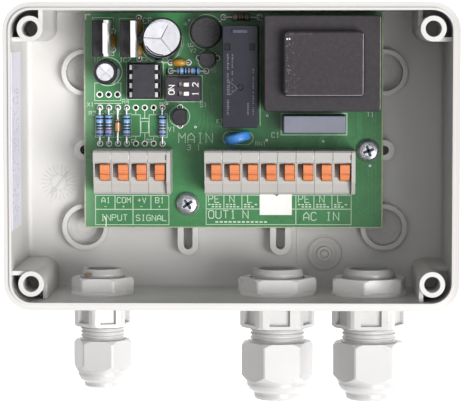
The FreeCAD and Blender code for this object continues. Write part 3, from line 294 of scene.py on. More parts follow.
# ---- mesh building
class Builder:
    """Collects simple solids, in millimetres, into one mesh."""

    def __init__(self):
        self.verts = []
        self.faces = []

    def add(self, verts, faces, matrix=None):
        start = len(self.verts)
        self.verts += [(matrix @ Vector(v)) if matrix else Vector(v) for v in verts]
        self.faces += [tuple(start + i for i in face) for face in faces]

    def box(self, low, high, matrix=None):
        (x0, y0, z0), (x1, y1, z1) = low, high
        verts = [(x, y, z) for z in (z0, z1) for y in (y0, y1) for x in (x0, x1)]
        faces = [(0, 2, 3, 1), (4, 5, 7, 6), (0, 1, 5, 4), (2, 6, 7, 3), (0, 4, 6, 2), (1, 3, 7, 5)]
        self.add(verts, faces, matrix)

    def prism(self, outline, z0, z1, matrix=None):
        """An upright solid with a counter-clockwise (x, y) outline."""
        n = len(outline)
        verts = [(x, y, z0) for x, y in outline] + [(x, y, z1) for x, y in outline]
        faces = [tuple(reversed(range(n))), tuple(range(n, 2 * n))]
        faces += [(k, (k + 1) % n, n + (k + 1) % n, n + k) for k in range(n)]
        self.add(verts, faces, matrix)

    def lathe(self, profile, matrix=None, steps=40):
        """Turns a closed outline of (radius, z) points about the Z axis."""
        n, verts, faces = len(profile), [], []
        for k in range(steps):
            angle = 2 * math.pi * k / steps
            verts += [(r * math.cos(angle), r * math.sin(angle), z) for r, z in profile]
        for k in range(steps):
            a, b = k * n, ((k + 1) % steps) * n
            for i in range(n):
                j = (i + 1) % n
                faces.append((a + i, b + i, b + j, a + j))
        self.add(verts, faces, matrix)

    def disc(self, x, y, radius, z0, z1, steps=32):
        outline = [(x + radius * math.cos(2 * math.pi * k / steps),
                    y + radius * math.sin(2 * math.pi * k / steps)) for k in range(steps)]
        self.prism(outline, z0, z1)

    def ring(self, x, y, outer, inner, z0, z1, steps=32):
        self.lathe([(inner, z0), (outer, z0), (outer, z1), (inner, z1)],
                   Matrix.Translation((x, y, 0)), steps)

    def arc(self, x, y, radius, start, end, width, z0, z1, steps=24):
        """A flat curved line, angles in degrees."""
        pts = [(x + radius * math.cos(math.radians(start + (end - start) * k / steps)),
                y + radius * math.sin(math.radians(start + (end - start) * k / steps)))
               for k in range(steps + 1)]
        self.ribbon(pts, width, z0, z1)

    def ribbon(self, points, width, z0, z1):
        """A flat line of some width through (x, y) points, with mitred corners."""
        pts = [Vector(p) for p in points]
        left, right = [], []
        for k, p in enumerate(pts):
            before = (p - pts[k - 1]).normalized() if k else (pts[1] - p).normalized()
            after = (pts[k + 1] - p).normalized() if k < len(pts) - 1 else before
            mid = before + after
            mid = mid.normalized() if mid.length > 1e-6 else before
            normal = Vector((-mid.y, mid.x))
            across = Vector((-before.y, before.x))
            reach = width / 2 / max(0.4, normal.dot(across))
            left.append(p + normal * reach)
            right.append(p - normal * reach)
        for k in range(len(pts) - 1):
            quad = [right[k], right[k + 1], left[k + 1], left[k]]
            self.prism([(v.x, v.y) for v in quad], z0, z1)

    def make(self, name, key, body="unit", smooth=35):
        mesh = bpy.data.meshes.new(name)
        mesh.from_pydata([tuple(v * MM) for v in self.verts], [], self.faces)
        tidy = bmesh.new()
        tidy.from_mesh(mesh)
        bmesh.ops.recalc_face_normals(tidy, faces=tidy.faces)
        tidy.to_mesh(mesh)
        tidy.free()
        if smooth:
            mesh.polygons.foreach_set("use_smooth", [True] * len(mesh.polygons))
            mesh.set_sharp_from_angle(angle=math.radians(smooth))
        mesh.materials.append(M[key])
        piece = bpy.data.objects.new(name, mesh)
        SCENE.collection.objects.link(piece)
        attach(piece, body)


# ---- reading the CAD shapes
def clusters(starts, neighbours):
    """Groups of joined vertices, each a list of points in millimetres."""
    seen, found = set(), []
    for start in starts:
        if start in seen:
            continue
        seen.add(start)
        stack, points = [start], []
        while stack:
            vert = stack.pop()
            points.append(vert.co / MM)
            for other in neighbours(vert):
                if other not in seen:
                    seen.add(other)
                    stack.append(other)
        found.append(points)
    return found


def islands(node):
    """The separate solids of a node, each a list of points in millimetres, sorted by x."""
    work = bmesh.new()
    work.from_mesh(NODES[node].data)
    bmesh.ops.remove_doubles(work, verts=work.verts, dist=1e-6)
    found = clusters(work.verts, lambda vert: [edge.other_vert(vert) for edge in vert.link_edges])
    work.free()
    return sorted(found, key=lambda pts: (round(min(p.x for p in pts), 2), min(p.y for p in pts)))


def span(points):
    low = Vector([min(p[i] for p in points) for i in range(3)])
    high = Vector([max(p[i] for p in points) for i in range(3)])
    return low, high


def board_holes():
    """The centre and radius of every drilled hole, from the board's top face."""
    work = bmesh.new()
    work.from_mesh(NODES["circuit_board"].data)
    bmesh.ops.remove_doubles(work, verts=work.verts, dist=1e-6)
    rim = [e for e in work.edges if all(abs(v.co.z / MM - TOP) < 1e-3 for v in e.verts)
           and any(abs(f.normal.z) < 0.5 for f in e.link_faces)
           and all(min(v.co.x / MM - BOARD_LOW.x, BOARD_HIGH.x - v.co.x / MM,
                       v.co.y / MM - BOARD_LOW.y, BOARD_HIGH.y - v.co.y / MM) > 0.1 for v in e.verts)]
    links = {}
    for edge in rim:
        for vert in edge.verts:
            links.setdefault(vert, []).append(edge.other_vert(vert))
    holes = []
    for loop in clusters(links, links.get):
        low, high = span(loop)
        holes.append(((low.x + high.x) / 2, (low.y + high.y) / 2, (high.x - low.x) / 2))
    work.free()
    return holes


BOARD_LOW, BOARD_HIGH = box_mm("circuit_board")
TOP, UNDER = BOARD_HIGH.z, BOARD_LOW.z
INNER_FLOOR = 2.5  # top of the housing floor
HOLES = board_holes()
SCREW_HOLE = 1.2  # holes wider than this radius take screws, not leads
ROW_Y = (1.9, 12.06)  # the two lines of holes of the upright axial parts
ROW_X = sorted({round(x, 2) for x, y, _ in HOLES if abs(y - ROW_Y[0]) < 0.3})
POLE = 5.08  # width of one terminal module
INK = 0.03  # height of printing above the board
LINE = 0.18  # usual width of a printed line
RULE = 0.11  # half the width of a table's inner line
COATED = 0.012  # rise of tracks and bare margins above the board
SCREW_TURNS = (35, 20)  # angle of each cross recess
CAN_HEIGHT = 12  # a can taller than this is the big one
GLAND_Z = 22.0  # height of the gland centre lines
COLLAR_X, COLLAR_Y = 42.35, 21.9  # the four collars' centres, either side of the middle
COLLAR_FLOOR = 1.3  # top of the thin floor inside a collar
RELAY_LID = 12.6  # the relay's flat top, above the board
LEAD_GAP = 0.33  # radius just outside a lead


# ---- stroke lettering
# Each glyph is drawn on a grid 4 wide and 6 high: "xy" points, with | between strokes.
GLYPHS = {
    "0": "01 05 16 36 45 41 30 10 01", "1": "15 26 20|10 30", "2": "05 16 36 45 44 00 40",
    "3": "05 16 36 45 44 33 13|33 42 41 30 10 01", "4": "30 36 02 42", "5": "46 06 03 33 42 41 30 10 01",
    "6": "45 36 16 05 01 10 30 41 42 33 03", "7": "06 46 20", "A": "00 04 26 44 40|02 42",
    "B": "00 06 36 45 44 33 03|33 42 41 30 00", "C": "45 36 16 05 01 10 30 41", "D": "00 06 26 45 41 20 00",
    "E": "46 06 00 40|03 33", "G": "45 36 16 05 01 10 30 41 43 23", "I": "10 30|20 26|16 36",
    "K": "00 06|46 03 40", "L": "06 00 40", "M": "00 06 23 46 40", "N": "00 06 40 46",
    "O": "01 05 16 36 45 41 30 10 01", "P": "00 06 36 45 44 33 03", "R": "00 06 36 45 44 33 03|23 40",
    "S": "01 10 30 41 42 33 13 04 05 16 36 45", "T": "20 26|06 46", "U": "06 01 10 30 41 46",
    "V": "06 20 46", "X": "00 46|06 40", "+": "21 25|03 43", "-": "03 43", "/": "00 46", " ": "",
}


def letters(ink, text, x, y, height, width=0.17, z0=None, turn=0):
    """Prints text with its lower left corner at (x, y), turned by whole quarter turns."""
    z0 = TOP if z0 is None else z0
    step = height / 6
    cos, sin = math.cos(math.radians(turn)), math.sin(math.radians(turn))
    for place, char in enumerate(text):
        for stroke in GLYPHS[char].split("|"):
            points = []
            for pair in stroke.split():
                u = (place * 5.6 + int(pair[0])) * step
                v = int(pair[1]) * step
                points.append((x + u * cos - v * sin, y + u * sin + v * cos))
            if points:
                ink.ribbon(points, width, z0, z0 + INK)


def bar(ink, x0, y0, x1, y1):
    """A filled rectangle printed on the board."""
    ink.box((x0, y0, TOP), (x1, y1, TOP + INK))


def frame_lines(ink, x0, y0, x1, y1, width=LINE):
    """A printed rectangle."""
    half = width / 2
    for y in (y0, y1):
        bar(ink, x0 - half, y - half, x1 + half, y + half)
    for x in (x0, x1):
        bar(ink, x - half, y0 + half, x + half, y1 - half)


# ---- board: pads, solder, traces, edges
def pads():
    """A tinned ring round every component hole, a dark disc of painted shade in the gap inside it, and solder
    cones underneath.
    """
    top_pads, under_pads, painted_hole_shade = Builder(), Builder(), Builder()
    for x, y, radius in HOLES:
        if radius > SCREW_HOLE:
            continue
        outer = radius + (0.45 if radius < 0.55 else 0.6)
        at = Matrix.Translation((x, y, 0))
        inner = radius + 0.09
        top_pads.lathe([(inner, TOP), (outer, TOP), (outer - 0.05, TOP + 0.06), (inner + 0.1, TOP + 0.1),
                        (inner, TOP + 0.08)], at, 24)
        # painted shade: a dark disc over the gap between lead and pad, where the hole lies in shade
        painted_hole_shade.lathe([(LEAD_GAP, TOP - 0.02), (inner, TOP - 0.02), (inner, TOP + 0.03),
                    (LEAD_GAP, TOP + 0.03)], at, 24)
        under_pads.lathe([(radius + 0.02, UNDER), (outer, UNDER), (outer - 0.12, UNDER - 0.25),
                          (radius + 0.1, UNDER - 0.8), (radius + 0.02, UNDER - 0.9)], at, 16)
    top_pads.make("solder_pads", "solder")
    painted_hole_shade.make("hole_shadows", "socket")
    under_pads.make("solder_joints", "solder")


def board_edges():
    """The pale cut edge of the laminate, and the strip where the green coating stops short."""
    cut, margin = Builder(), Builder()
    x0, y0, x1, y1 = BOARD_LOW.x, BOARD_LOW.y, BOARD_HIGH.x, BOARD_HIGH.y
    t, w = 0.03, 0.34
    cut.box((x0 - t, y0 - t, UNDER + 0.05), (x0, y1, TOP - 0.05))
    cut.box((x1, y0 - t, UNDER + 0.05), (x1 + t, y1, TOP - 0.05))
    cut.box((x0, y0 - t, UNDER + 0.05), (x1, y0, TOP - 0.05))
    margin.box((x0, y0, TOP), (x0 + w, y1, TOP + COATED))
    margin.box((x1 - w, y0, TOP), (x1, y1, TOP + COATED))
    margin.box((x0 + w, y0, TOP), (x1 - w, y0 + 0.24, TOP + COATED))
    cut.make("board_cut_edges", "board_edge")
    margin.make("board_margins", "margin")


def traces():
    """Copper tracks that show faintly through the green coating."""
    track = Builder()

    def run(points, width):
        track.ribbon(points, width, TOP, TOP + COATED)

    strip_high = box_mm("terminal_strip_input")[1]
    for k, x in enumerate(ROW_X):
        if k % 2:
            run([(x, ROW_Y[1]), (x, 12.9), (x + 1.2, 13.2 + 0.25 * k)], 0.45)
        run([(x, ROW_Y[0]), (x, strip_high.y - 0.4)], 0.45)
    for k in range(3):
        y = 14.6 + 1.1 * k
        run([(-19.4 + 0.4 * k, y + 9), (-18.9, y + 6 - k), (-18.9, y - 2), (-17.6, y - 3.4)], 0.4)
    for k in range(4):
        x = -9.6 + 1.1 * k
        run([(x, 21.5 - k), (x, 8.2 - k), (x - 1.6, 5.0 - k), (x - 5.0, 4.4 - k)], 0.5)
    power_high = box_mm("terminal_strip_power")[1]
    for k in range(3):
        x = power_high.x - 3.0 - POLE * k
        run([(x, power_high.y), (x, 3.2 + 0.4 * k), (x + 2.2, 4.6 + 0.4 * k)], 1.5)
    run([(35.3, 10.9), (35.3, 3.6), (33.6, 2.0)], 1.6)
    for k in range(3):
        y = BOARD_LOW.y + 1.2 + 1.3 * k
        run([(34.6, y + 5), (35.4, y + 3), (39.8 - k, y + 1), (39.8 - k, 12 - 2 * k)], 0.5)
    track.make("copper_tracks", "trace", smooth=0)
    vias = Builder()
    for x, y in ((38.3, -4.3), (25.1, 2.6), (-9.6, 14.2), (-10.9, 6.6), (-18.9, 13.2), (9.4, 9.8),
                 (-3.9, 36.4), (-12.6, 36.6), (-11.2, 30.2), (9.2, 2.9)):
        vias.ring(x, y, 0.36, 0.16, TOP, TOP + 0.03, 16)
    vias.make("board_vias", "solder")


def printed_tables():
    """The printed tables under the two terminal strips."""
    ink = Builder()
    low = box_mm("terminal_strip_input")[0]
    x0, x1 = low.x - 0.45, low.x + 4 * POLE
    y_top, y_mid, y_end = low.y - 1.05, low.y - 5.0, low.y - 9.35
    frame_lines(ink, x0, y_end, x1, y_top)
    bar(ink, x0, y_mid - RULE, x1, y_mid + RULE)
    for k in (1, 2, 3):
        bottom = y_end if k == 2 else y_mid
        bar(ink, low.x + k * POLE - RULE, bottom, low.x + k * POLE + RULE, y_top)
    for k, word in enumerate(("A1", "COM", "+V", "B1")):
        letters(ink, word, low.x + k * POLE + (0.6 if len(word) > 2 else 1.3), y_top - 2.1, 1.5, 0.2)
    for k, mark in enumerate("-+-+"):
        letters(ink, mark, low.x + k * POLE + 2.1, y_mid + 0.35, 0.9, 0.16)
    letters(ink, "INPUT", x0 + 1.5, y_end + 1.15, 1.7, 0.2)
    letters(ink, "SIGNAL", low.x + 2 * POLE + 0.9, y_end + 1.15, 1.6, 0.2)

    low = box_mm("terminal_strip_power")[0]
    x0, x1 = low.x + 0.05, low.x + 8 * POLE + 0.35
    y_top, y_mid, y_end = low.y - 0.95, low.y - 4.85, low.y - 9.25
    frame_lines(ink, x0, y_end, x1, y_top)
    bar(ink, x0, y_mid - RULE, x1, y_mid + RULE)
    for k in range(1, 8):
        if k == 4:
            continue
        bottom = y_end if k == 5 else y_mid
        bar(ink, low.x + k * POLE - RULE, bottom, low.x + k * POLE + RULE, y_top)
    for k, word in enumerate(("PE", "N", "L", "", "", "PE", "N", "L")):
        letters(ink, word, low.x + k * POLE + (0.7 if len(word) > 1 else 1.6), y_top - 2.05, 1.95, 0.22)
    for k in (0, 1, 2, 5, 6, 7):
        for row in range(2):
            for dash in range(4):
                if (k + row + dash) % 5:
                    x = low.x + k * POLE + 0.6 + dash * 1.0
                    y = y_mid + 0.45 + row * 0.65
                    bar(ink, x, y, x + 0.7, y + 0.34)
    letters(ink, "OUT1", x0 + 0.7, y_end + 1.75, 2.2, 0.24)
    letters(ink, "N", x0 + 10.4, y_end + 1.75, 2.2, 0.24)
    for dash in range(12):
        bar(ink, x0 + 2.6 + dash * 1.25, y_end + 0.5, x0 + 3.45 + dash * 1.25, y_end + 0.95)
    letters(ink, "AC IN", low.x + 5 * POLE + 2.2, y_end + 1.2, 2.25, 0.24)
    ink.make("printed_tables", "silk", smooth=0)


def printed_outlines():
    """Component outlines and reference marks printed on the board."""
    ink = Builder()
    z0, z1 = TOP, TOP + INK
    row = ROW_X
    frame_lines(ink, row[0] - 1.5, 14.0, row[0] + 5.9, 19.0)
    bar(ink, row[0] - 1.6, 13.15, row[0] + 6.0, 13.35)
    for x in (row[4], row[6]):
        frame_lines(ink, x - 1.27, 4.0, x + 1.27, 10.05)
        bar(ink, x - 0.1, 10.05, x + 0.1, 11.2)
        bar(ink, x - 0.1, 2.8, x + 0.1, 4.0)
    x = row[5]
    frame_lines(ink, x - 1.05, 5.0, x + 1.05, 8.15)
    bar(ink, x - 1.05, 8.9, x + 1.05, 9.15)
    bar(ink, x - 0.1, 9.15, x + 0.1, 11.2)
    bar(ink, x - 0.1, 2.8, x + 0.1, 5.0)
    for x in row[:4] + row[7:]:
        frame_lines(ink, x - 1.3, 3.7, x + 1.3, 10.3, 0.16)
    low, high = box_mm("ic_socket")
    frame_lines(ink, low.x - 0.35, low.y - 0.3, high.x + 0.4, high.y + 0.25)
    low, high = box_mm("film_capacitor")
    frame_lines(ink, low.x - 0.7, low.y - 1.0, high.x + 0.6, high.y + 0.3, 0.28)
    low, high = box_mm("switch_body")
    frame_lines(ink, low.x - 0.3, low.y - 0.35, high.x + 0.3, high.y + 0.3)
    for points in islands("capacitor_sleeves"):
        low, high = span([p for p in points if p.z < TOP + 1.6])
        radius = (high.x - low.x) / 2 + 0.55
        ink.ring((low.x + high.x) / 2, (low.y + high.y) / 2, radius + 0.14, radius - 0.12, z0, z1, 56)
        if radius > 5:
            ink.arc((low.x + high.x) / 2, (low.y + high.y) / 2, radius, -38, 12, 0.5, z0, z1)
            letters(ink, "+", high.x + 0.9, high.y - 1.2, 1.7, 0.3)
            letters(ink, "C5", low.x + 0.2, high.y - 0.1, 1.5, 0.26)
    for points in islands("transistors"):
        low, high = span(points)
        x, y = (low.x + high.x) / 2, (low.y + high.y) / 2
        ink.ring(x - (0.2 if y < 15 else 0), y, 3.0, 2.78, z0, z1, 48)
    for points in islands("regulator_packages"):
        low, high = span(points)
        frame_lines(ink, low.x - 0.9, low.y + 0.1, high.x + 1.6, high.y + 0.75)
    low, high = box_mm("bridge_rectifier")
    ink.ring((low.x + high.x) / 2, (low.y + high.y) / 2, 5.0, 4.8, z0, z1, 48)
    low, high = box_mm("varistor")
    reach, side = (high.x - low.x) / 2 - 0.6, 1.85
    middle = ((low.x + high.x) / 2, (low.y + high.y) / 2 - 0.25)
    for s in (-1, 1):
        ink.arc(middle[0] + s * (reach - 0.7), middle[1], side, -90 * s, 180 - 90 * s, 0.2, z0, z1)
        bar(ink, middle[0] - reach + 0.7, middle[1] + s * side - 0.1,
            middle[0] + reach - 0.7, middle[1] + s * side + 0.1)
    low, high = box_mm("relay_case")
    bar(ink, high.x + 0.35, low.y, high.x + 0.55, high.y)
    bar(ink, BOARD_LOW.x + 0.35, BOARD_HIGH.y - 0.75, BOARD_LOW.x + 1.9, BOARD_HIGH.y - 0.4)
    bar(ink, BOARD_LOW.x + 0.35, BOARD_HIGH.y - 2.0, BOARD_LOW.x + 0.75, BOARD_HIGH.y - 0.75)
    for word, x, y, size in (("X1", -41.4, 12.4, 1.1), ("R3", -40.9, 9.9, 1.15), ("R1", -36.4, 10.2, 0.9),
                             ("R2", -33.9, 10.2, 0.9), ("R4", -31.5, 13.2, 1.2), ("R7", -20.9, 12.3, 1.1),
                             ("C6", -29.0, 2.2, 0.9), ("D2", -24.6, 2.3, 0.9),
                             ("IC1", -39.6, 24.9, 1.2), ("IC2", -32.2, 24.9, 1.2), ("C2", -25.9, 25.2, 1.0),
                             ("V1", -18.6, 5.4, 1.25), ("S1", -9.6, 12.3, 1.2), ("R5", -6.6, 22.0, 1.0),
                             ("K1", -4.9, 7.7, 1.15), ("V2", -12.3, 27.6, 1.0), ("U2", -12.9, 29.2, 1.0),
                             ("T1", 37.4, 9.6, 1.2), ("C1", 10.6, 3.7, 1.35), ("RN1", 6.0, 1.3, 1.15)):
        letters(ink, word, x, y, size, 0.17)
    letters(ink, "MAIN", -15.6, 2.1, 2.75, 0.2)
    letters(ink, "3 1", -13.2, 0.1, 1.45, 0.15)
    ink.make("printed_outlines", "silk", smooth=0)


# ---- marks on the components
def across(low, high):
    """Turns a Z-axis lathe so that it runs along a part's longer side, from its low end."""
    size = high - low
    middle = (low + high) / 2
    start, angle, axis, length = (low.x, middle.y, middle.z), 90, "Y", size.x
    if size.y > size.x:
        start, angle, axis, length = (middle.x, low.y, middle.z), -90, "X", size.y
    return Matrix.Translation(start) @ Matrix.Rotation(math.radians(angle), 4, axis), length


def band(builder, matrix, start, width, inner, thick=0.035):
    """A ring of paint round a part, sunk a little into it."""
    builder.lathe([(inner - 0.1, start), (inner + thick, start), (inner + thick, start + width),
                   (inner - 0.1, start + width)], matrix, 32)


def resistor_bands():
    """Colour bands on the resistors, with pale glaze between them, and the diode's ring."""
    colours = {key: Builder() for key in ("band_dark", "band_brown", "band_red", "band_pale")}
    plan = (("band_brown", 0.13, 1.12), ("band_dark", 0.33, 0.93), ("band_dark", 0.46, 0.93),
            ("band_red", 0.59, 0.93), ("band_dark", 0.84, 1.12))
    swaps = ("band_dark", "band_brown", "band_red", "band_dark", "band_brown")
    for number, points in enumerate(islands("film_resistors")):
        matrix, length = across(*span(points))
        for place, (key, share, radius) in enumerate(plan):
            chosen = swaps[(number + place) % 5] if place in (1, 3) else key
            band(colours[chosen], matrix, share * length - 0.25, 0.46, radius)
        for share in (0.265, 0.395, 0.525, 0.66):
            band(colours["band_pale"], matrix, share * length - 0.1, 0.2, 0.93, 0.02)
    for key, builder in colours.items():
        builder.make("resistor_" + key, key)
    ring = Builder()
    for points in islands("diode"):
        matrix, length = across(*span(points))
        band(ring, matrix, 0.76 * length, 0.5, 0.74)
        band(ring, matrix, 0.04 * length, 0.12, 0.66)
    ring.make("diode_band", "band_dark")
    slug = Builder()
    low, high = box_mm("fusible_resistor")
    matrix, length = across(low, high)
    for share in (0.3, 0.46, 0.62):
        band(slug, matrix, share * length, 0.3, 0.93)
    slug.make("fusible_resistor_bands", "band_dark")


def can_axis(points):
    """The foot, the crown and the direction of a can that may lean."""
    low, high = span(points)
    crown = [p for p in points if p.z > high.z - 1.35]
    foot = [p for p in points if p.z < low.z + 0.9]
    a, b = (sum(end, Vector()) / len(end) for end in (foot, crown))
    up = (b - a).normalized()
    return a, a + up * (max(p.dot(up) for p in points) - a.dot(up)), up


def along(origin, direction):
    """Stands a Z-axis shape on a point, leaning in a direction."""
    return Matrix.Translation(origin) @ Vector((0, 0, 1)).rotation_difference(direction).to_matrix().to_4x4()


def can_marks():
    """Facets between the pressed vent lines, and the printed stripe down each sleeve."""
    facets, stripe, dash, cover = (Builder() for _ in range(4))
    for points in islands("capacitor_cans"):
        low, high = span(points)
        _, centre, up = can_axis(points)
        big = high.z - low.z > CAN_HEIGHT
        radius = 4.72 if big else 2.4
        turns = (62, 177, 308) if big else (45, 135, 225, 315)
        if not big:
            cover.lathe([(radius, 0.0), (2.95, 0.0), (2.95, 0.2), (radius + 0.1, 0.2)], along(centre, up), 40)
        for k, start in enumerate(turns):
            end = turns[(k + 1) % len(turns)] + (360 if k == len(turns) - 1 else 0)
            middle = math.radians((start + end) / 2)
            tilt = Matrix.Rotation(math.radians((2.2, -1.5, 0.8, -2.4)[k]), 4,
                                   Vector((math.cos(middle), math.sin(middle), 0)))
            steps = 14
            gap = 1.6 if big else 3.5
            outline = [(0.18 * math.cos(middle), 0.18 * math.sin(middle))]
            angles = [start + gap + (end - start - 2 * gap) * i / steps for i in range(steps + 1)]
            outline += [(radius * math.cos(math.radians(a)), radius * math.sin(math.radians(a)))
                        for a in angles]
            facets.prism(outline, 0.005, 0.035, along(centre, up) @ tilt)
    for points in islands("capacitor_sleeves"):
        foot, _, up = can_axis(points)
        low, high = span(points)
        big = high.z - low.z > CAN_HEIGHT
        radius = (5.37 if big else 3.42) + 0.012
        centre = 262 if big else -20
        width = 96 if big else 70
        base = along(foot, up)
        height = (high.z - low.z) - (1.6 if big else 1.0)
        steps = 18
        ring_in, ring_out = [], []
        for i in range(steps + 1):
            a = math.radians(centre - width / 2 + width * i / steps)
            ring_in.append((radius - 0.06) * Vector((math.cos(a), math.sin(a))))
            ring_out.append((radius + 0.012) * Vector((math.cos(a), math.sin(a))))
        stripe.prism([(v.x, v.y) for v in ring_out + ring_in[::-1]], 0.6, height, base)
        for k in range(3 if big else 2):
            z = 2.0 + k * (4.2 if big else 3.4)
            a0 = math.radians(centre - 7)
            a1 = math.radians(centre + 7)
            outline = [((radius + r) * math.cos(a), (radius + r) * math.sin(a))
                       for r, a in ((0.03, a0), (0.03, a1), (-0.02, a1), (-0.02, a0))]
            dash.prism(outline, z, z + 1.8, base)
    cover.make("sleeve_folds", "sleeve")
    facets.make("can_vent_facets", "can", smooth=0)
    stripe.make("sleeve_stripes", "stripe")
    dash.make("sleeve_stripe_marks", "sleeve")


def switch_marks():
    """The switch's ON and numbers, and the pale floors that its sliders uncover."""
    low, high = box_mm("switch_body")
    ink = Builder()
    letters(ink, "ON", low.x + 2.25, low.y + 1.9, 1.55, 0.3, high.z, turn=90)
    for number in ("1", "2"):
        a, b = box_mm("switch_slider_" + number)
        letters(ink, number, high.x - 0.7, (a.y + b.y) / 2 - 0.5, 1.5, 0.28, high.z, turn=90)
    ink.make("switch_marks", "mark_white", smooth=0)
    floors = Builder()
    for slider in ("switch_slider_1", "switch_slider_2"):
        a, b = box_mm(slider)
        start = a.x - (b.x - a.x) + 0.25
        floors.box((start, a.y, high.z - 1.6), (b.x, b.y, high.z - 1.56))
    floors.make("switch_window_floors", "window", smooth=0)


def relay_marks():
    """Columns of fine print, kept as plain dashes, a triangle, a painted highlight on the top rib, and two
    recess floors of painted shade.
    """
    low, high = box_mm("relay_case")
    z = min(high.z, TOP + RELAY_LID) + 0.004
    ink = Builder()
    pick = random.Random(4)
    columns = ((low.x + 1.3, low.y + 2.6, low.y + 20.4, 0.62), (low.x + 2.6, low.y + 9.5, low.y + 20.2, 0.5),
               (high.x - 3.0, low.y + 3.0, low.y + 7.4, 0.45), (high.x - 1.5, low.y + 2.8, low.y + 16.0, 0.4))
    for x, y0, y1, size in columns:
        y = y0
        while y < y1:
            length = pick.uniform(0.35, 0.8)
            if pick.random() > 0.18:
                ink.box((x, y, z), (x + size * pick.uniform(0.55, 1.0), y + length * 0.62, z + 0.02))
            y += length
    corner = (low.x + 2.0, low.y + 9.0)
    triangle = [corner, (corner[0] + 2.2, corner[1] + 1.9), (corner[0], corner[1] + 3.8), corner]
    ink.ribbon(triangle, 0.14, z, z + 0.02)
    ink.make("relay_fine_print", "faint", smooth=0)
    # painted highlight: a lighter dash on the top face of the relay's moulded rib
    shine = Builder()
    shine.box((low.x + 3.0, high.y - 2.05, high.z - 0.01), (low.x + 6.9, high.y - 1.25, high.z + 0.015))
    shine.make("relay_rib_highlight", "rib_highlight", smooth=0)
    # painted shade: dark floors in the two square recesses
    pits = Builder()
    for x0, x1 in ((low.x + 0.55, low.x + 2.15), (high.x - 2.35, high.x - 0.85)):
        pits.box((x0, high.y - 6.75, z - 0.46), (x1, high.y - 4.95, z - 0.25))
    pits.make("relay_recess_shade", "pit_shade", smooth=0)


def transformer_marks():
    """Bright specks beside the raised pad, painted highlights along its edges and the case's right edge, and
    a moulded dash.
    """
    low, high = box_mm("transformer_case")
    pick = random.Random(11)
    specks = Builder()
    z = high.z
    for _ in range(60):
        x = low.x + 5.8 + abs(pick.gauss(0, 1.4))
        y = pick.uniform(low.y + 5.2, high.y - 5.4)
        size = pick.uniform(0.06, 0.16)
        specks.box((x, y, z - 0.01), (x + size, y + size * pick.uniform(0.6, 1.3), z + 0.02))
    for _ in range(26):
        x = pick.uniform(low.x + 6, low.x + 13)
        y = high.y - 4.9 - abs(pick.gauss(0, 0.3))
        specks.box((x, y, z - 0.01), (x + 0.1, y + 0.08, z + 0.02))
    specks.make("transformer_specks", "speck", smooth=0)
    dash = Builder()
    dash.box((low.x + 6.1, high.y - 6.7, z - 0.01), (low.x + 6.5, high.y - 6.25, z + 0.03))
    dash.box((low.x + 6.75, high.y - 6.7, z - 0.01), (low.x + 7.15, high.y - 6.25, z + 0.03))
    dash.make("transformer_dash", "mark_white", smooth=0)
    # painted highlights: bright strips along the pad's edges and the case's right shoulder
    shine = Builder()
    pad_x, pad_y = high.x - 4.5, low.y + 4.0
    rim_z = high.z - 0.2
    shine.box((pad_x - 0.62, pad_y + 0.7, rim_z), (pad_x - 0.42, high.y - 5.0, high.z + 0.01))
    shine.box((low.x + 5.9, pad_y + 0.42, rim_z), (pad_x - 0.7, pad_y + 0.58, high.z + 0.01))
    shoulder = high.z - 3.6
    shine.box((high.x - 0.3, low.y + 0.5, shoulder - 0.2), (high.x - 0.1, high.y - 0.5, shoulder + 0.012))
    shine.make("transformer_edge_highlights", "edge_shine", smooth=0)


def terminal_details():
    """Sloped floors of painted shade in the test slots, painted glints in the joints between modules and
    painted shade lines for the grip grooves on the levers.
    """
    ramp, painted_glint = Builder(), Builder()
    for node, poles in (("terminal_strip_input", 4), ("terminal_strip_power", 8)):
        low, high = box_mm(node)
        for k in range(poles):
            x, z = low.x + POLE * k, high.z
            y0, y1, foot = -6.73, -3.1, z - 8.6
            x0, x1 = x + 0.42, x + 1.82
            # painted shade: grey sloped floors set into the test-slot wells
            ramp.add([(x0, y1, foot), (x1, y1, foot), (x1, y1, z - 4.2), (x0, y1, z - 4.2),
                      (x0, y0, foot), (x1, y0, foot), (x1, y0, z - 2.1), (x0, y0, z - 2.1)],
                     [(0, 3, 2, 1), (4, 5, 6, 7), (0, 1, 5, 4), (3, 7, 6, 2), (0, 4, 7, 3), (1, 2, 6, 5)])
            if k < poles - 1:
                drop = 0.05 if k in (0, 1, 2, 5) else 0.3
                # painted glints: pale plates in the joints between modules
                painted_glint.box((x + 4.76, -1.85, z - 0.58), (x + 5.0, -0.55, z - drop))
    ramp.make("test_slot_ramps", "slot_shade", smooth=0)
    painted_glint.make("painted_joint_glints", "painted_glint", smooth=0)
    for number in range(1, 13):
        node = f"lever_{number:02d}"
        low, high = box_mm(node)
        # painted shade: dark orange lines across the lever top for the grooves between its grip ribs
        groove_lines = Builder()
        for k in range(4):
            y = high.y - 0.55 - 0.55 * k
            groove_lines.box((low.x + 0.2, y - 0.06, high.z - 0.06), (high.x - 0.2, y + 0.06, high.z - 0.02))
        groove_lines.make(node + "_groove_shade", "lever_groove_shade", body_of(node), smooth=0)


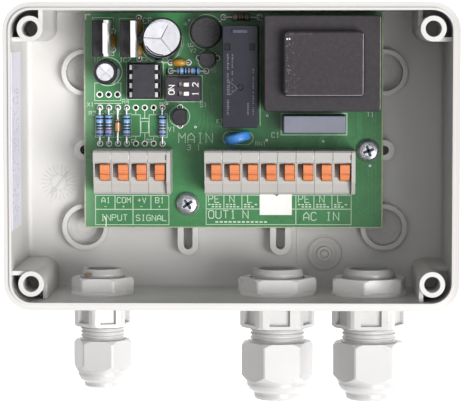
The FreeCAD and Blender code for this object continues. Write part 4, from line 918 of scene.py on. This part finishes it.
def screw_recesses():
    """Painted shade in each cross recess, with painted highlights on the edges round it."""
    dark, bright = Builder(), Builder()
    for points, turn in zip(islands("board_screws"), SCREW_TURNS):
        low, high = span(points)
        at = Matrix.Translation(((low.x + high.x) / 2, (low.y + high.y) / 2, 0))
        for quarter in range(4):
            spin = at @ Matrix.Rotation(math.radians(turn + 90 * quarter), 4, "Z")
            # painted shade: a dark floor in each arm of the cross recess
            dark.box((-0.38, -0.38, TOP + 0.92), (1.58, 0.38, TOP + 1.3), spin)
            # painted highlights: bright strips on the recess edges, in the tab metal
            bright.box((1.6, -0.45, TOP + 1.6), (1.78, 0.45, TOP + 2.08), spin)
            bright.box((0.55, 0.4, TOP + 1.7), (1.6, 0.52, TOP + 2.15), spin)
            bright.box((0.55, -0.52, TOP + 1.7), (1.6, -0.4, TOP + 2.15), spin)
    dark.make("screw_recess_floors", "recess", smooth=0)
    bright.make("screw_recess_highlights", "tab", smooth=0)


def chip_marks():
    """The dot beside the chip's first leg."""
    low, high = box_mm("ic_chip")
    dot = Builder()
    dot.disc(low.x + 1.05, high.y - 1.2, 0.5, high.z, high.z + 0.015, 24)
    dot.make("chip_dot", "socket")


def sticker_marks():
    """Traces of print on the board's sticker, and a stray fleck of paint on the board."""
    low, high = box_mm("board_sticker")
    ink = Builder()
    z = high.z
    ink.box((low.x + 3.9, high.y - 0.62, z), (low.x + 5.5, high.y - 0.05, z + 0.02))
    ink.box((low.x + 4.5, high.y - 0.95, z), (low.x + 5.1, high.y - 0.62, z + 0.02))
    ink.box((low.x + 0.5, high.y - 0.4, z), (low.x + 0.75, high.y - 0.2, z + 0.02))
    ink.box((low.x + 7.9, high.y - 0.5, z), (low.x + 8.2, high.y - 0.2, z + 0.02))
    ink.make("sticker_marks", "ink", smooth=0)
    stray = Builder()
    fleck = [(-36.8, -18.6), (-36.35, -19.4), (-36.15, -20.3), (-36.3, -21.6)]
    stray.ribbon(fleck, 0.3, TOP + INK, TOP + INK + 0.03)
    stray.make("paint_fleck", "mark_white", smooth=0)


def label_print():
    """Rows of fine violet print on the label of the left wall."""
    low, high = box_mm("inner_label")
    pick = random.Random(9)
    ink = Builder()
    x = high.x
    for column in range(4):
        z = high.z - 3.4 - 4.0 * column
        y = high.y - (7.5 + 2.5 * (column % 2))
        while y > low.y + 2.5:
            length = pick.uniform(0.25, 1.1)
            if pick.random() > 0.42:
                height = pick.uniform(0.35, 0.9)
                ink.box((x, y - length * 0.7, z), (x + 0.015, y, z + height))
            y -= length + 0.12
    ink.make("label_print", "violet", smooth=0)


# ---- moulded marks on the housing
def mould_marks():
    """A date clock drawn in a darker tone as painted shade in its engraved lines, the gate mark's rings and
    button, and a faint split line on the inner floor.
    """
    mark = Builder()
    floor_z = INNER_FLOOR
    x, y, radius = -50.1, -9.4, 5.05         # the date clock
    mark.ring(x, y, 2.25, 2.1, floor_z, floor_z + 0.07, 48)
    for k in range(24):
        a = math.radians(15 * k + 4)
        inner, outer = (3.0, radius) if k % 2 else (3.6, radius)
        points = [(x + r * math.cos(a), y + r * math.sin(a)) for r in (inner, outer)]
        mark.ribbon(points, 0.16, floor_z, floor_z + 0.07)
    for k in range(12):
        a = math.radians(30 * k + 11)
        mark.ring(x + 2.65 * math.cos(a), y + 2.65 * math.sin(a), 0.3, 0.18, floor_z, floor_z + 0.07, 12)
    mark.ribbon([(x - 2.3, y - 3.2), (x + 2.4, y + 3.1)], 0.3, floor_z, floor_z + 0.09)
    mark.ribbon([(x - 1.9, y - 3.5), (x + 2.8, y + 2.8)], 0.12, floor_z, floor_z + 0.07)
    mark.make("mould_date_clock", "housing_groove_shade", smooth=0)
    nub = Builder()
    gx, gy = 25.6, -29.7                     # the gate mark
    nub.ring(gx, gy, 3.45, 3.33, floor_z, floor_z + 0.05, 48)
    nub.ring(gx, gy, 5.35, 5.25, floor_z, floor_z + 0.05, 64)
    button = ((0.0001, 1.0), (1.3, 1.0), (1.15, 1.25), (0.5, 1.45), (0.0001, 1.4))
    nub.lathe([(r, floor_z + rise) for r, rise in button], Matrix.Translation((gx, gy, 0)), 24)
    nub.box((17.6, -36.8, floor_z), (17.75, -21.0, floor_z + 0.05))
    nub.make("gate_mark", "housing", smooth=0)


def collar_marks():
    """Turning marks on the thin floor inside each collar, in a darker tone as painted shade in their fine
    grooves.
    """
    mark, floor_z = Builder(), COLLAR_FLOOR
    pick = random.Random(21)
    for sx in (-1, 1):
        for sy in (-1, 1):
            x, y = sx * COLLAR_X, sy * COLLAR_Y
            for radius in (1.3, 2.2, 3.0, 3.9, 4.6):
                start = pick.uniform(0, 360)
                mark.arc(x, y, radius, start, start + pick.uniform(70, 210), 0.1, floor_z, floor_z + 0.05)
            for _ in range(5):
                a, r = math.radians(pick.uniform(0, 360)), pick.uniform(1.0, 4.0)
                at = (x + r * math.cos(a), y + r * math.sin(a))
                mark.ribbon([at, (at[0] + pick.uniform(-0.9, 0.9), at[1] + pick.uniform(-0.9, 0.9))], 0.12,
                            floor_z, floor_z + 0.06)
    mark.make("collar_floor_marks", "housing_groove_shade", smooth=0)


def gland_smudge():
    """A brown thumb mark on the signal gland's inner end."""
    low, high = box_mm("gland_body_signal")
    centre = Matrix.Translation(((low.x + high.x) / 2, high.y - 1.9, GLAND_Z))
    turn = centre @ Matrix.Rotation(math.radians(-90), 4, "X")
    mark = Builder()
    for start, end, y0, y1 in ((28, 44, 0.2, 1.1), (40, 50, 0.0, 0.7), (24, 30, 0.5, 1.0)):
        rim = [(r * math.sin(-math.radians(a)), -r * math.cos(math.radians(a)))
               for r, angles in ((6.19, (start, end)), (6.0, (end, start))) for a in angles]
        mark.prism(rim, y0, y1, turn)
    mark.make("gland_smudge", "smudge", smooth=0)


collar_marks()
gland_smudge()
pads()
board_edges()
traces()
printed_tables()
printed_outlines()
resistor_bands()
can_marks()
switch_marks()
relay_marks()
transformer_marks()
terminal_details()
screw_recesses()
chip_marks()
sticker_marks()
label_print()
mould_marks()


# ---- camera, light, floor
camera = bpy.data.objects.new("camera", bpy.data.cameras.new("camera"))
SCENE.collection.objects.link(camera)
camera.location = (0.0142, 0.0331, 0.6798)
camera.rotation_euler = (math.radians(-4.06), math.radians(1.273), math.radians(-0.006))
camera.data.lens = 185.4
camera.data.clip_start = 0.05
camera.data.clip_end = 20
SCENE.camera = camera
SCENE.view_settings.view_transform = "Standard"
SCENE.view_settings.look = "Medium High Contrast"


def area(name, place, target, size, power, colour=(1, 1, 1)):
    """A rectangular lamp that faces a target, in metres and watts."""
    data = bpy.data.lights.new(name, "AREA")
    data.shape = "RECTANGLE"
    data.size, data.size_y = size
    data.energy = power
    data.color = colour
    lamp = bpy.data.objects.new(name, data)
    SCENE.collection.objects.link(lamp)
    lamp.location = place
    lamp.rotation_euler = (Vector(target) - Vector(place)).to_track_quat("-Z", "Y").to_euler()


area("key_light", (1.68, -0.85, 2.53), (0.0, 0.01, 0.02), (1.8, 1.8), 99.0, (1.0, 0.988, 0.97))
area("front_light", (0.10, -0.85, 0.40), (0.0, 0.0, 0.02), (0.6, 0.36), 1.6, (0.98, 0.99, 1.0))
area("top_light", (-0.06, 0.12, 1.30), (0.0, 0.01, 0.0), (0.9, 0.9), 1.9)
world = bpy.data.worlds.new("studio")
world.use_nodes = True
sky = world.node_tree.nodes["Background"]
sky.inputs["Color"].default_value = (1, 1, 1, 1)
sky.inputs["Strength"].default_value = 0.20
SCENE.world = world

FLOOR_REACH, FLOOR_Z = 3, -0.0002  # half the floor's side and its height, in metres
floor_mesh = bpy.data.meshes.new("floor")
floor_mesh.from_pydata([(sx * FLOOR_REACH, sy * FLOOR_REACH, FLOOR_Z)
                        for sx, sy in ((-1, -1), (1, -1), (1, 1), (-1, 1))], [], [(0, 1, 2, 3)])
floor = bpy.data.objects.new("floor", floor_mesh)
SCENE.collection.objects.link(floor)
floor_mat, _, floor_bsdf = tree_of("floor_paper")
floor_bsdf.inputs["Base Color"].default_value = (0.35, 0.35, 0.35, 1)
floor_bsdf.inputs["Roughness"].default_value = 0.9
floor_bsdf.inputs["Emission Color"].default_value = (1, 1, 1, 1)
floor_bsdf.inputs["Emission Strength"].default_value = 1.0
floor_mesh.materials.append(floor_mat)
